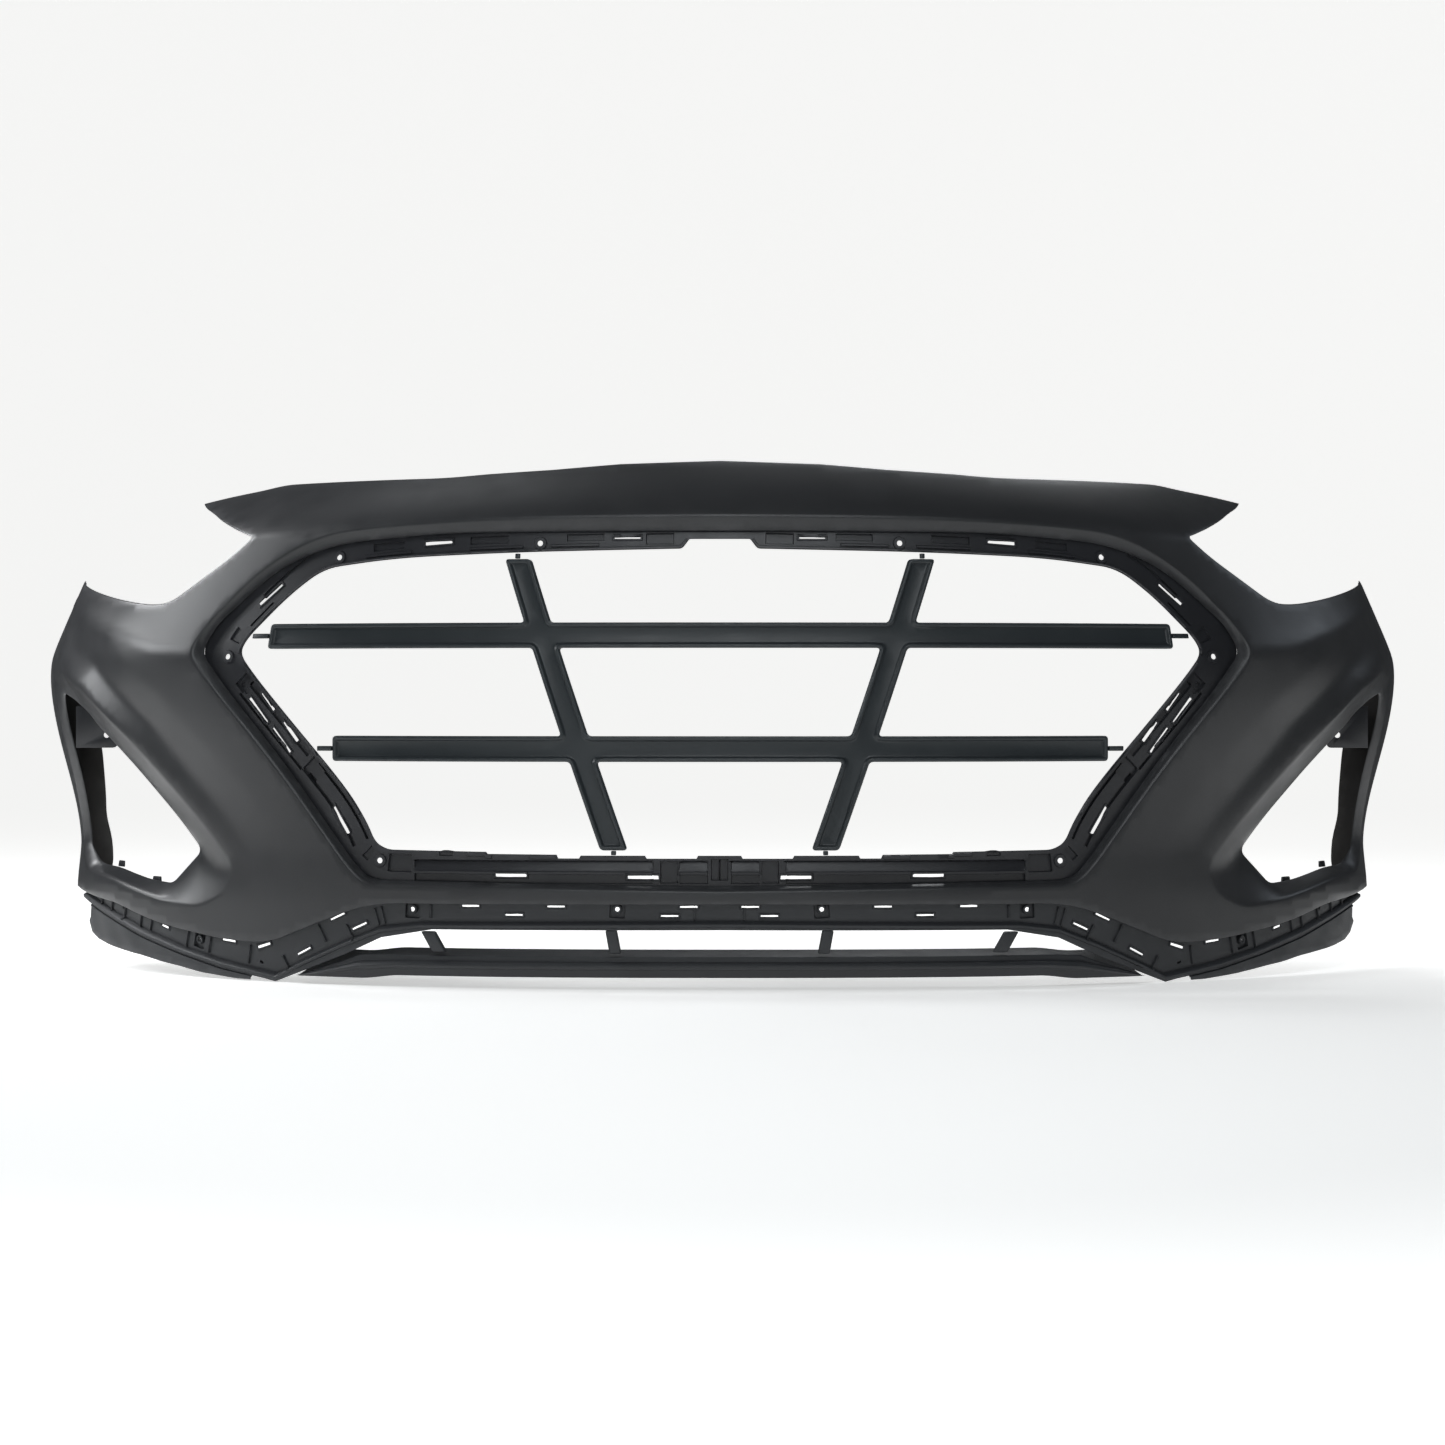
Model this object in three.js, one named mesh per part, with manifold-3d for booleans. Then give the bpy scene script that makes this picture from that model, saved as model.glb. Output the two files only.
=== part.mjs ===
// Front bumper cover of a mid-size saloon: one thin plastic moulding, built as the named regions
// it is made of. Millimetres, +Z up, the front faces -Y, X across the car, symmetric about X = 0.
import * as THREE from 'three';
import { mergeVertices } from 'three/addons/utils/BufferGeometryUtils.js';
import Module from 'manifold-3d';

const wasm = await Module();
wasm.setup();

// ---------------------------------------------------------------- driving dimensions
const HALF_WIDTH = 923; // half width of the vertical nose surface the skin is measured from
const NOSE_DEPTH = 600; // how far back that surface turns before it runs straight to the rear
const NOSE_POWER = 2.4; // superellipse power of the plan curve
const WALL = 3; // moulded wall
const GAP = 0.4; // clearance between neighbouring regions

const ARCH = { y: 830, z: 130, radius: 420 }; // wheel arch circle in side view

const BEVEL_DEPTH = 14; // drop of the bevel round the grille opening
const FLANGE_SET = 17.6; // grille flange behind the skin
const LEDGE_DEPTH = 28; // drop of the ledge round the fog lamp opening
const CHANNEL_SET = 7; // trim channel behind the skin
const BRACE_SET = 20; // transport brace behind the skin
const BRACE_THICK = 12;
const BRACE_HALF = 15.6; // half width of a brace bar
const BRACE_TILT = 0.358; // sideways run of a slanted bar per mm of height
const BRACE_FOOT = 129; // slanted bar centre line at its foot, along the skin from the middle

const BACK_SHIFT = 310.4; // moves the foremost plane so that Y = 0 is the middle of the depth
const LIFT = 2; // lowest point above the datum of the heights below

// ---------------------------------------------------------------- nose surface
const bend = (v, r) => (v + Math.hypot(v, r)) / 2;
const smooth = (low, high, v) => THREE.MathUtils.smoothstep(v, low, high);

const planPoint = (t) => ({
  x: HALF_WIDTH * Math.sin((t * Math.PI) / 2) ** (2 / NOSE_POWER),
  y: NOSE_DEPTH * (1 - Math.cos((t * Math.PI) / 2) ** (2 / NOSE_POWER)),
});

const RUN = [0];
const SAMPLES = 1500;
for (let i = 1; i <= SAMPLES; i += 1) {
  const a = planPoint((i - 1) / SAMPLES);
  const b = planPoint(i / SAMPLES);
  RUN.push(RUN[i - 1] + Math.hypot(b.x - a.x, b.y - a.y));
}
const CURVE_END = RUN[SAMPLES];
const RUN_END = CURVE_END + 60;

// point and outward normal of the plan curve, s millimetres along it from the middle of the car
function plan(s) {
  const run = Math.abs(s);
  const side = s < 0 ? -1 : 1;
  if (run >= CURVE_END) {
    return { x: side * HALF_WIDTH, y: NOSE_DEPTH + run - CURVE_END, nx: side, ny: 0 };
  }
  let low = 0;
  let high = SAMPLES;
  while (high - low > 1) {
    const mid = (low + high) >> 1;
    if (RUN[mid] <= run) low = mid;
    else high = mid;
  }
  const { x, y } = planPoint((low + (run - RUN[low]) / (RUN[high] - RUN[low])) / SAMPLES);
  const gx = (x / HALF_WIDTH) ** (NOSE_POWER - 1) / HALF_WIDTH;
  const gy = (1 - y / NOSE_DEPTH) ** (NOSE_POWER - 1) / NOSE_DEPTH;
  const g = Math.hypot(gx, gy);
  return { x: side * x, y, nx: (side * gx) / g, ny: -gy / g };
}

// how far the painted skin lies inside the nose surface
function inset(s, z) {
  const x = Math.abs(plan(s).x);
  const sideways = smooth(0.3 * HALF_WIDTH, 0.92 * HALF_WIDTH, x);
  const middle = 62 * (Math.max(0, z - 150) / 420) ** 2 + 8 * (Math.max(0, 150 - z) / 150) ** 2;
  const tuck = 38 * (1 - smooth(150, 385, z)) - 5 * (1 - smooth(95, 165, z));
  const flank = tuck + 0.43 * bend(z - 400, 14);
  const hoodLine = 569 - 22 * (x / 600) ** 2;
  const hoodLean = 70 * (Math.max(0, z - hoodLine) / 73) ** 1.35;
  return (1 - sideways) * middle + sideways * flank + hoodLean;
}

function skin(s, z, depth = 0) {
  const p = plan(s);
  const w = inset(s, z) + depth;
  return new THREE.Vector3(p.x - p.nx * w, p.y - p.ny * w, z);
}

function solve(measure, target) {
  let low = 0;
  let high = RUN_END;
  for (let i = 0; i < 40; i += 1) {
    const mid = (low + high) / 2;
    if (measure(mid) < target) low = mid;
    else high = mid;
  }
  return (low + high) / 2;
}

// surface coordinates of a point given across the car (atX) or back from the nose (atY)
const atX = (x, z, r = 0, depth = 0) => [solve((s) => skin(s, z, depth).x, x), z, r];
const atY = (y, z, r = 0, depth = 0) => [solve((s) => skin(s, z, depth).y, y), z, r];

// ---------------------------------------------------------------- outlines
const vec = (u, v) => new THREE.Vector2(u, v);

// open or closed polyline with each corner [u, v, r] eased over the length r on both sides
function ease(corners, closed, divisions = 3) {
  const n = corners.length;
  const out = [];
  corners.forEach(([u, v, r], i) => {
    const here = vec(u, v);
    if (!r || (!closed && (i === 0 || i === n - 1))) {
      out.push(here);
      return;
    }
    const before = vec(...corners[(i + n - 1) % n].slice(0, 2));
    const after = vec(...corners[(i + 1) % n].slice(0, 2));
    const reachIn = Math.min(r, here.distanceTo(before) * 0.46);
    const reachOut = Math.min(r, here.distanceTo(after) * 0.46);
    const start = here.clone().lerp(before, reachIn / here.distanceTo(before));
    const end = here.clone().lerp(after, reachOut / here.distanceTo(after));
    out.push(...new THREE.QuadraticBezierCurve(start, here, end).getPoints(divisions));
  });
  return out;
}

const flip = (points) => points.map((p) => vec(-p.x, p.y)).reverse();

// closed loop from its right half, which starts and ends on the middle line
function mirrored(half) {
  return [...half, ...flip(half).slice(1, -1)];
}

const archY = (z) => ARCH.y - Math.sqrt(ARCH.radius ** 2 - (z - ARCH.z) ** 2);

const archEdge = [];
for (let i = 0; i <= 9; i += 1) {
  const z = 494 - ((494 - 97) * i) / 9;
  archEdge.push(atY(archY(z), z));
}

const hoodEdge = [
  atX(0, 646), atX(125, 641.5), atX(210, 634), atX(291, 629), atX(345, 624.5, 30), atX(560, 623.5, 20),
  atX(596, 616.5, 20), atX(681, 604), atX(654, 586, 20), atX(586, 550, 8), atX(615, 525, 20),
  atX(697, 468, 22), atX(728, 467, 30), atX(772, 475, 40), atX(820, 489, 40), atX(858, 506.5, 4),
  atX(863, 503, 4),
];
const channelEdge = [
  atX(819, 89, 30), atX(781, 84, 20), atX(718, 64, 40), atX(624, 48, 30), atX(573, 46, 20),
  atX(549, 50, 12), atX(489, 75, 40), atX(442, 93, 22), atX(405, 99, 20), atX(0, 100),
];
const skinEdge = mirrored(ease([...hoodEdge, ...archEdge, ...channelEdge], false));

const bevelTop = mirrored(ease([
  atX(0, 571), atX(260, 569, 80), atX(400, 562, 60), atX(500, 549, 60), atX(575, 505, 50),
  atX(638, 442, 24), atX(661, 404, 24), atX(634, 366, 30), atX(549, 268, 60), atX(453, 141, 30),
  atX(431, 122, 20), atX(0, 116.5),
], false));
const bevelFoot = mirrored(ease([
  atX(0, 553, 0, 14), atX(330, 552, 60, 14), atX(480, 540, 50, 14), atX(556, 508, 50, 14),
  atX(628, 442, 24, 14), atX(646, 408, 18, 14), atX(618, 364, 30, 14), atX(541, 272, 60, 14),
  atX(448, 146, 30, 14), atX(428, 127, 18, 14), atX(0, 121, 0, 14),
], false));
const grilleOpening = mirrored(ease([
  atX(0, 543, 0, 20), atX(37, 543, 2, 20), atX(46, 531, 4, 20), atX(250, 527, 60, 20),
  atX(400, 521, 50, 20), atX(492, 509, 24, 20), atX(537, 475, 30, 20), atX(588, 423, 18, 20),
  atX(597, 404, 14, 20), atX(577, 377, 24, 20), atX(457, 238, 60, 20), atX(431, 196, 20, 20),
  atX(421, 172, 14, 20), atX(405, 163.5, 8, 20), atX(283, 162, 0, 20), atX(281, 159.5, 0, 20),
  atX(197, 159, 0, 20), atX(195, 154.5, 0, 20),
  atX(170, 154.5, 0, 20), atX(168, 158, 0, 20), atX(90, 158, 0, 20), atX(88, 154.5, 0, 20),
  atX(28, 154.5, 0, 20), atX(26, 158, 0, 20), atX(0, 158, 0, 20),
], false));

const ledgeTop = ease([
  atX(860, 384, 20), atX(818, 361, 30), atX(736, 288, 60), atX(638, 182, 30), atX(604, 136, 20),
  atX(620, 104, 20), atX(655, 87, 20), atX(705, 92, 30), atX(790, 117, 30), atY(362, 124, 20),
  atY(390, 150, 20), atY(391, 200, 30), atY(380, 260, 40), atY(386, 340, 30), atY(392, 376, 12),
], true);
const ledgeFoot = ease([
  atX(846, 349, 14, 20), atX(822, 331, 20, 28), atX(763, 278, 60, 28), atX(688, 196, 26, 28),
  atX(657, 156, 12, 28), atX(700, 112, 12, 28), atX(734, 115, 20, 28), atX(783, 125, 20, 22),
  atY(345, 130, 12), atY(376, 156, 12), atY(378, 200, 30), atY(366, 260, 40), atY(369, 330, 24),
  atY(360, 356, 10),
], true);

// ---------------------------------------------------------------- meshing of curved sheets
const edgeKey = (a, b) => (a < b ? `${a},${b}` : `${b},${a}`);

// triangles over flat zones that share their border points, no edge longer than step
function meshZones(zones, step) {
  const points = [];
  const known = new Map();
  const fixed = new Set();
  let triangles = [];

  const idOf = (p) => {
    const key = `${p.x.toFixed(3)},${p.y.toFixed(3)}`;
    if (!known.has(key)) {
      known.set(key, points.length);
      points.push(p);
    }
    return known.get(key);
  };
  const turn = ([a, b, c]) => {
    const p = points[a];
    const q = points[b];
    const r = points[c];
    return (q.x - p.x) * (r.y - p.y) - (q.y - p.y) * (r.x - p.x);
  };

  zones.forEach((zone, k) => {
    const holes = zone.holes ?? [];
    const ids = [zone.outline, ...holes].flat().map(idOf);
    [zone.outline, ...holes].forEach((loop) => {
      loop.forEach((p, i) => fixed.add(edgeKey(idOf(p), idOf(loop[(i + 1) % loop.length]))));
    });
    THREE.ShapeUtils.triangulateShape(zone.outline, holes).forEach((t) => {
      const tri = t.map((i) => ids[i]);
      triangles.push({ v: turn(tri) > 0 ? tri : tri.reverse(), zone: k });
    });
  });

  // swap the diagonal of each pair of triangles that another diagonal suits better
  const swapDiagonals = () => {
    for (let sweep = 0; sweep < 40; sweep += 1) {
      const owners = new Map();
      triangles.forEach((t, i) => t.v.forEach((a, k) => {
        const key = edgeKey(a, t.v[(k + 1) % 3]);
        if (!owners.has(key)) owners.set(key, []);
        owners.get(key).push([i, k]);
      }));
      const touched = new Set();
      let swaps = 0;
      owners.forEach((pair, key) => {
        if (pair.length !== 2 || fixed.has(key)) return;
        const [[i, k], [j, m]] = pair;
        if (touched.has(i) || touched.has(j)) return;
        const a = triangles[i].v[k];
        const b = triangles[i].v[(k + 1) % 3];
        const c = triangles[i].v[(k + 2) % 3];
        const d = triangles[j].v[(m + 2) % 3];
        const first = [c, a, d];
        const second = [d, b, c];
        if (turn(first) < 1e-3 || turn(second) < 1e-3) return;
        const angle = (p, q, r) => {
          const u = points[q].clone().sub(points[p]);
          const v = points[r].clone().sub(points[p]);
          return Math.acos(THREE.MathUtils.clamp(u.dot(v) / (u.length() * v.length()), -1, 1));
        };
        if (angle(c, a, b) + angle(d, a, b) <= Math.PI + 1e-6) return;
        triangles[i].v = first;
        triangles[j].v = second;
        touched.add(i);
        touched.add(j);
        swaps += 1;
      });
      if (swaps === 0) return;
    }
  };

  for (let pass = 0; pass < 12; pass += 1) {
    swapDiagonals();
    const middle = new Map();
    triangles.forEach((t) => t.v.forEach((a, k) => {
      const b = t.v[(k + 1) % 3];
      const key = edgeKey(a, b);
      if (middle.has(key) || points[a].distanceTo(points[b]) <= step) return;
      middle.set(key, points.length);
      points.push(points[a].clone().lerp(points[b], 0.5));
      if (fixed.delete(key)) {
        fixed.add(edgeKey(a, points.length - 1));
        fixed.add(edgeKey(b, points.length - 1));
      }
    }));
    if (middle.size === 0) break;
    const next = [];
    triangles.forEach((t) => {
      const cut = t.v.map((a, k) => middle.get(edgeKey(a, t.v[(k + 1) % 3])));
      const count = cut.filter((m) => m !== undefined).length;
      const add = (...v) => next.push({ v, zone: t.zone });
      let k = 0;
      if (count === 1) k = cut.findIndex((m) => m !== undefined);
      if (count === 2) k = (cut.findIndex((m) => m === undefined) + 1) % 3;
      const [a, b, c] = [t.v[k], t.v[(k + 1) % 3], t.v[(k + 2) % 3]];
      const [ab, bc, ca] = [cut[k], cut[(k + 1) % 3], cut[(k + 2) % 3]];
      if (count === 0) add(a, b, c);
      if (count === 1) {
        add(a, ab, c);
        add(ab, b, c);
      }
      if (count === 2) {
        add(ab, b, bc);
        add(a, ab, bc);
        add(a, bc, c);
      }
      if (count === 3) {
        add(a, ab, ca);
        add(ab, b, bc);
        add(ca, bc, c);
        add(ab, bc, ca);
      }
    });
    triangles = next;
  }
  swapDiagonals();
  return { points, triangles };
}

function closedBody(positions, faces) {
  const geometry = new THREE.BufferGeometry();
  const flat = positions.flatMap((p) => p.toArray());
  geometry.setAttribute('position', new THREE.Float32BufferAttribute(flat, 3));
  let volume = 0;
  faces.forEach(([a, b, c]) => {
    volume += positions[a].dot(positions[b].clone().cross(positions[c]));
  });
  geometry.setIndex(faces.flatMap(([a, b, c]) => (volume < 0 ? [c, b, a] : [a, b, c])));
  return geometry;
}

// curved sheet over flat zones: each zone gives its own depth, the back is a wall's thickness
// behind the front unless the sheet has its own back surface
function sheet(zones, { step = 70, place = skin, back = null, wall = WALL } = {}) {
  const { points, triangles } = meshZones(zones, step);
  const depth = [];
  triangles.forEach((t) => t.v.forEach((i) => {
    if (depth[i] === undefined) depth[i] = zones[t.zone].depth(points[i]);
  }));
  const front = points.map((p, i) => place(p.x, p.y, depth[i]));
  const normals = points.map(() => new THREE.Vector3());
  triangles.forEach(({ v: [a, b, c] }) => {
    const n = front[b].clone().sub(front[a]).cross(front[c].clone().sub(front[a]));
    [a, b, c].forEach((i) => normals[i].add(n));
  });
  const rear = points.map((p, i) => (back
    ? place(p.x, p.y, back)
    : front[i].clone().addScaledVector(normals[i].normalize(), -wall)));
  const count = points.length;
  const faces = [];
  const border = new Map();
  triangles.forEach(({ v }) => {
    faces.push(v);
    faces.push([v[2] + count, v[1] + count, v[0] + count]);
    v.forEach((a, k) => {
      const b = v[(k + 1) % 3];
      if (!border.delete(`${b},${a}`)) border.set(`${a},${b}`, [a, b]);
    });
  });
  border.forEach(([a, b]) => {
    faces.push([b, a, a + count]);
    faces.push([b, a + count, b + count]);
  });
  return closedBody([...front, ...rear], faces);
}

// body swept along the skin: section(s) gives its closed outline as [depth, z] corners
function rail(section, from, to, steps) {
  const positions = [];
  const faces = [];
  let n = 0;
  for (let i = 0; i <= steps; i += 1) {
    const s = from + ((to - from) * i) / steps;
    const corners = section(s);
    n = corners.length;
    corners.forEach(([w, z]) => positions.push(skin(s, z, w)));
  }
  for (let i = 0; i < steps; i += 1) {
    for (let k = 0; k < n; k += 1) {
      const a = i * n + k;
      const b = i * n + ((k + 1) % n);
      faces.push([a, b, b + n]);
      faces.push([a, b + n, a + n]);
    }
  }
  const flat = section(from).map(([w, z]) => vec(w, z));
  const flipped = THREE.ShapeUtils.area(flat) > 0;
  THREE.ShapeUtils.triangulateShape(flat, []).forEach(([a, b, c]) => {
    const facing = flat[b].clone().sub(flat[a]).cross(flat[c].clone().sub(flat[a])) > 0;
    const cap = facing === flipped ? [c, b, a] : [a, b, c];
    faces.push(cap);
    faces.push([...cap].reverse().map((i) => i + steps * n));
  });
  return closedBody(positions, faces);
}

// body between two copies of a flat outline; place(point, 0 or 1) puts a corner on its end
function prism(outline, place) {
  const n = outline.length;
  const positions = [0, 1].flatMap((end) => outline.map((q) => place(q, end)));
  const faces = [];
  THREE.ShapeUtils.triangulateShape(outline, []).forEach(([a, b, c]) => {
    faces.push([a, b, c]);
    faces.push([c + n, b + n, a + n]);
  });
  outline.forEach((q, a) => {
    const b = (a + 1) % n;
    faces.push([b, a, a + n]);
    faces.push([b, a + n, b + n]);
  });
  return closedBody(positions, faces);
}

// slab between two depths under the skin
const slab = (outline, w0, w1) => prism(outline, (q, end) => skin(q.x, q.y, end ? w1 : w0));

// ---------------------------------------------------------------- booleans
function toManifold(geometry) {
  return new wasm.Manifold(new wasm.Mesh({
    numProp: 3,
    vertProperties: new Float32Array(geometry.getAttribute('position').array),
    triVerts: new Uint32Array(geometry.getIndex().array),
  }));
}

function fromManifold(body) {
  const mesh = body.getMesh();
  const geometry = new THREE.BufferGeometry();
  geometry.setAttribute('position', new THREE.BufferAttribute(new Float32Array(mesh.vertProperties), 3));
  geometry.setIndex(new THREE.BufferAttribute(new Uint32Array(mesh.triVerts), 1));
  return geometry;
}

// prism with a flat outline, standing square to the skin and running from depth w0 to w1
function stud(outline, s, z, w0, w1) {
  const at = skin(s, z, 0);
  const p = plan(s);
  const inward = new THREE.Vector3(-p.nx, -p.ny, 0);
  const up = new THREE.Vector3(0, 0, 1);
  const across = new THREE.Vector3().crossVectors(inward, up);
  return toManifold(prism(outline, (q, end) => at.clone()
    .addScaledVector(across, q.x)
    .addScaledVector(up, q.y)
    .addScaledVector(inward, end ? w1 : w0)));
}

function circle(radius, sides) {
  return Array.from({ length: sides }, (_, i) => {
    const a = (i / sides) * 2 * Math.PI;
    return vec(radius * Math.cos(a), radius * Math.sin(a));
  });
}

// rectangular slot turned by an angle in degrees
function slot(length, width, degrees) {
  const l = length / 2;
  const h = width / 2;
  const turn = THREE.MathUtils.degToRad(degrees);
  return [[-l, -h], [l, -h], [l, h], [-l, h]].map(([u, v]) => vec(u, v).rotateAround(vec(0, 0), turn));
}

// everything in front of and behind a rectangle of the front view
function column(x0, x1, z0, z1) {
  const box = new THREE.BoxGeometry(x1 - x0, 1600, z1 - z0);
  box.translate((x0 + x1) / 2, 400, (z0 + z1) / 2);
  box.deleteAttribute('normal');
  box.deleteAttribute('uv');
  return toManifold(mergeVertices(box));
}

// ---------------------------------------------------------------- distances on the flat pattern
function distance(p, loop) {
  let best = Infinity;
  loop.forEach((a, i) => {
    const b = loop[(i + 1) % loop.length];
    const ab = b.clone().sub(a);
    const t = THREE.MathUtils.clamp(p.clone().sub(a).dot(ab) / Math.max(ab.lengthSq(), 1e-9), 0, 1);
    best = Math.min(best, p.distanceTo(a.clone().addScaledVector(ab, t)));
  });
  return best;
}

// 0 on the first line, 1 on the second
function between(p, first, second) {
  const a = distance(p, first);
  const b = distance(p, second);
  return a / Math.max(a + b, 1e-9);
}

// ---------------------------------------------------------------- assembly
const group = new THREE.Group();
group.name = 'front_bumper_cover';

const LOOKS = {
  primer: [0x2b2c2e, 0.5],
  black: [0x17181a, 0.38],
  grained: [0x202224, 0.6],
  brace: [0x1c2022, 0.42],
};

function add(name, look, body) {
  const geometry = body instanceof THREE.BufferGeometry ? body : fromManifold(body);
  geometry.translate(0, -BACK_SHIFT, LIFT);
  geometry.computeVertexNormals();
  const [color, roughness] = LOOKS[look];
  const mesh = new THREE.Mesh(geometry, new THREE.MeshStandardMaterial({ color, roughness, metalness: 0 }));
  mesh.name = name;
  group.add(mesh);
}

const SIDES = [['right', 1], ['left', -1]];
const onSide = (points, side) => (side > 0 ? points : flip(points));

// ---- painted skin
const ledgeDepth = (p) => {
  const y = plan(p.x).y;
  return 8 + (LEDGE_DEPTH - 8) * (1 - smooth(290, 360, y));
};
const skinZones = [
  {
    outline: skinEdge,
    holes: [bevelTop, ledgeTop, flip(ledgeTop)],
    depth: () => 0,
  },
  {
    outline: bevelTop,
    holes: [bevelFoot],
    depth: (p) => BEVEL_DEPTH * between(p, bevelTop, bevelFoot),
  },
];
SIDES.forEach(([, side]) => {
  const top = onSide(ledgeTop, side);
  const foot = onSide(ledgeFoot, side);
  skinZones.push({
    outline: top,
    holes: [foot],
    depth: (p) => ledgeDepth(p) * between(p, top, foot),
  });
});
add('fascia_skin', 'primer', sheet(skinZones, { step: 75 }));
const skinClearance = toManifold(sheet(skinZones, { step: 75, wall: WALL + GAP }));

// ---- grille flange: one ring behind the bevel, split at the corners of the opening
const ring = toManifold(sheet([{
  outline: bevelTop,
  holes: [grilleOpening],
  depth: () => FLANGE_SET,
}], { step: 75 }));

const flangeSlots = [
  [346, 540, 36, 4.5, -4], [113, 545, 33, 3.2, 0], [560, 478, 38, 4.5, -41],
  [561, 344, 27, 3.6, 51], [572, 333, 39, 4.4, 51], [531, 307, 30, 4, 51], [542, 296, 38, 4.4, 51],
  [465, 199, 38, 4.4, 58], [253, 134, 38, 4.6, 0], [92, 132, 38, 4.4, 0],
];
const flangeScrews = [[472, 523], [613, 400], [415, 150], [220, 538]];

let flange = ring;
SIDES.forEach(([, side]) => {
  flangeScrews.forEach(([x, z]) => {
    const [s] = atX(x, z, 0, FLANGE_SET);
    flange = flange.add(stud(circle(8.5, 12), side * s, z, FLANGE_SET - 2.4, FLANGE_SET + 2));
  });
  flangeScrews.forEach(([x, z]) => {
    const [s] = atX(x, z, 0, FLANGE_SET);
    flange = flange.subtract(stud(circle(3.4, 8), side * s, z, FLANGE_SET - 8, FLANGE_SET + 8));
  });
  flangeSlots.forEach(([x, z, length, width, degrees]) => {
    const [s] = atX(x, z, 0, FLANGE_SET);
    const hole = slot(length, width, side * degrees);
    flange = flange.subtract(stud(hole, side * s, z, FLANGE_SET - 8, FLANGE_SET + 8));
  });
});
add('grille_flange_top', 'black', flange.intersect(column(-900, 900, 404 + GAP / 2, 800)));
add('grille_flange_bottom', 'black', flange.intersect(column(-430 + GAP / 2, 430 - GAP / 2, 0, 300)));
add('grille_flange_right', 'black', flange.intersect(column(430 + GAP / 2, 900, 0, 404 - GAP / 2)));
add('grille_flange_left', 'black', flange.intersect(column(-900, -430 - GAP / 2, 0, 404 - GAP / 2)));

// ---- transport brace: two level bars and two slanted bars in one lattice, with a raised rim
const BRACE_LEVELS = { upper: 425, lower: 286.5, top: 519, foot: 164 };
const BRACE_ENDS = { upper: 587, lower: 491 };

function lattice(edge) {
  const half = BRACE_HALF - edge;
  const lean = half * Math.hypot(1, BRACE_TILT);
  const centre = (z) => BRACE_FOOT + BRACE_TILT * (z - BRACE_LEVELS.foot);
  const { upper, lower, top, foot } = BRACE_LEVELS;
  const outer = (z, r) => [centre(z) + lean, z, r];
  const inner = (z, r) => [centre(z) - lean, z, r];
  const tip = Math.max(1.5, 5 - edge);
  const nook = 5 + edge * 0.5;
  const outline = mirrored(ease([
    [0, upper + half, 0], inner(upper + half, nook), inner(top - edge, tip), outer(top - edge, tip),
    outer(upper + half, nook), [BRACE_ENDS.upper - edge, upper + half, tip],
    [BRACE_ENDS.upper - edge, upper - half, tip], outer(upper - half, nook), outer(lower + half, nook),
    [BRACE_ENDS.lower - edge, lower + half, tip], [BRACE_ENDS.lower - edge, lower - half, tip],
    outer(lower - half, nook), outer(foot + edge, tip), inner(foot + edge, tip),
    inner(lower - half, nook), [0, lower - half, 0],
  ], false, 2));
  const window = mirrored(ease([
    [0, upper - half, 0], inner(upper - half, nook), inner(lower + half, nook), [0, lower + half, 0],
  ], false, 2));
  return { outline, window };
}

const rim = lattice(0);
const lip = lattice(4.5);
const bed = lattice(6.5);
const onRim = () => BRACE_SET;
const sinking = (from, to) => (p) => BRACE_SET + 4 * between(p, from, to);
add('transport_brace', 'brace', sheet([
  { outline: rim.outline, holes: [lip.outline], depth: onRim },
  { outline: lip.window, holes: [rim.window], depth: onRim },
  { outline: lip.outline, holes: [bed.outline], depth: sinking(lip.outline, bed.outline) },
  { outline: bed.window, holes: [lip.window], depth: sinking(lip.window, bed.window) },
  { outline: bed.outline, holes: [bed.window], depth: () => BRACE_SET + 4 },
], { step: 150, back: BRACE_SET + BRACE_THICK }));

// right edge of the grille opening at height z, on the flat pattern
function openingEdge(z) {
  const crossings = grilleOpening.map((a, i) => {
    const b = grilleOpening[(i + 1) % grilleOpening.length];
    const crosses = (a.y - z) * (b.y - z) <= 0 && a.y !== b.y;
    return crosses ? a.x + ((b.x - a.x) * (z - a.y)) / (b.y - a.y) : 0;
  });
  return Math.max(...crossings);
}

// ---- break-off ties that carry the brace
SIDES.forEach(([label, side]) => {
  const tie = (name, s0, s1, z0, z1) => {
    const [from, to] = side > 0 ? [s0, s1] : [-s1, -s0];
    const outline = [vec(from, z0), vec(to, z0), vec(to, z1), vec(from, z1)];
    add(`brace_tie_${name}_${label}`, 'brace', slab(outline, BRACE_SET - 2, BRACE_SET + 4));
  };
  tie('upper', BRACE_ENDS.upper + GAP, openingEdge(428.5) - 3 * GAP, 422.5, 428.5);
  tie('lower', BRACE_ENDS.lower + GAP, openingEdge(283.5) - 3 * GAP, 283.5, 289.5);
  tie('top', 253, 259, BRACE_LEVELS.top + GAP, 525.6);
  tie('foot', 126, 132, 158 + GAP, BRACE_LEVELS.foot - GAP);
});

// ---- trim channel along the lower edge, split at its two points
const POINT = 551; // the channel dips to a point at this distance from the middle
const channelTop = [
  [0, 105], [405, 104], [442, 98], [489, 80], [549, 55], [573, 51], [624, 53], [718, 69], [781, 89],
  [819, 94], [846, 99.5],
];
const channelFloor = [
  [0, 80], [363, 77], [413, 71], [463, 51], [521, 24], [POINT, 8], [567, 11], [624, 21], [683, 35.5],
  [743, 54], [810, 79], [846, 93],
];
const channelRim = [
  [0, 69], [349, 68], [413, 57], [461, 34.5], [POINT, -2], [567, 1.5], [624, 11], [683, 26], [743, 44],
  [810, 70], [846, 84],
];

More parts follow.
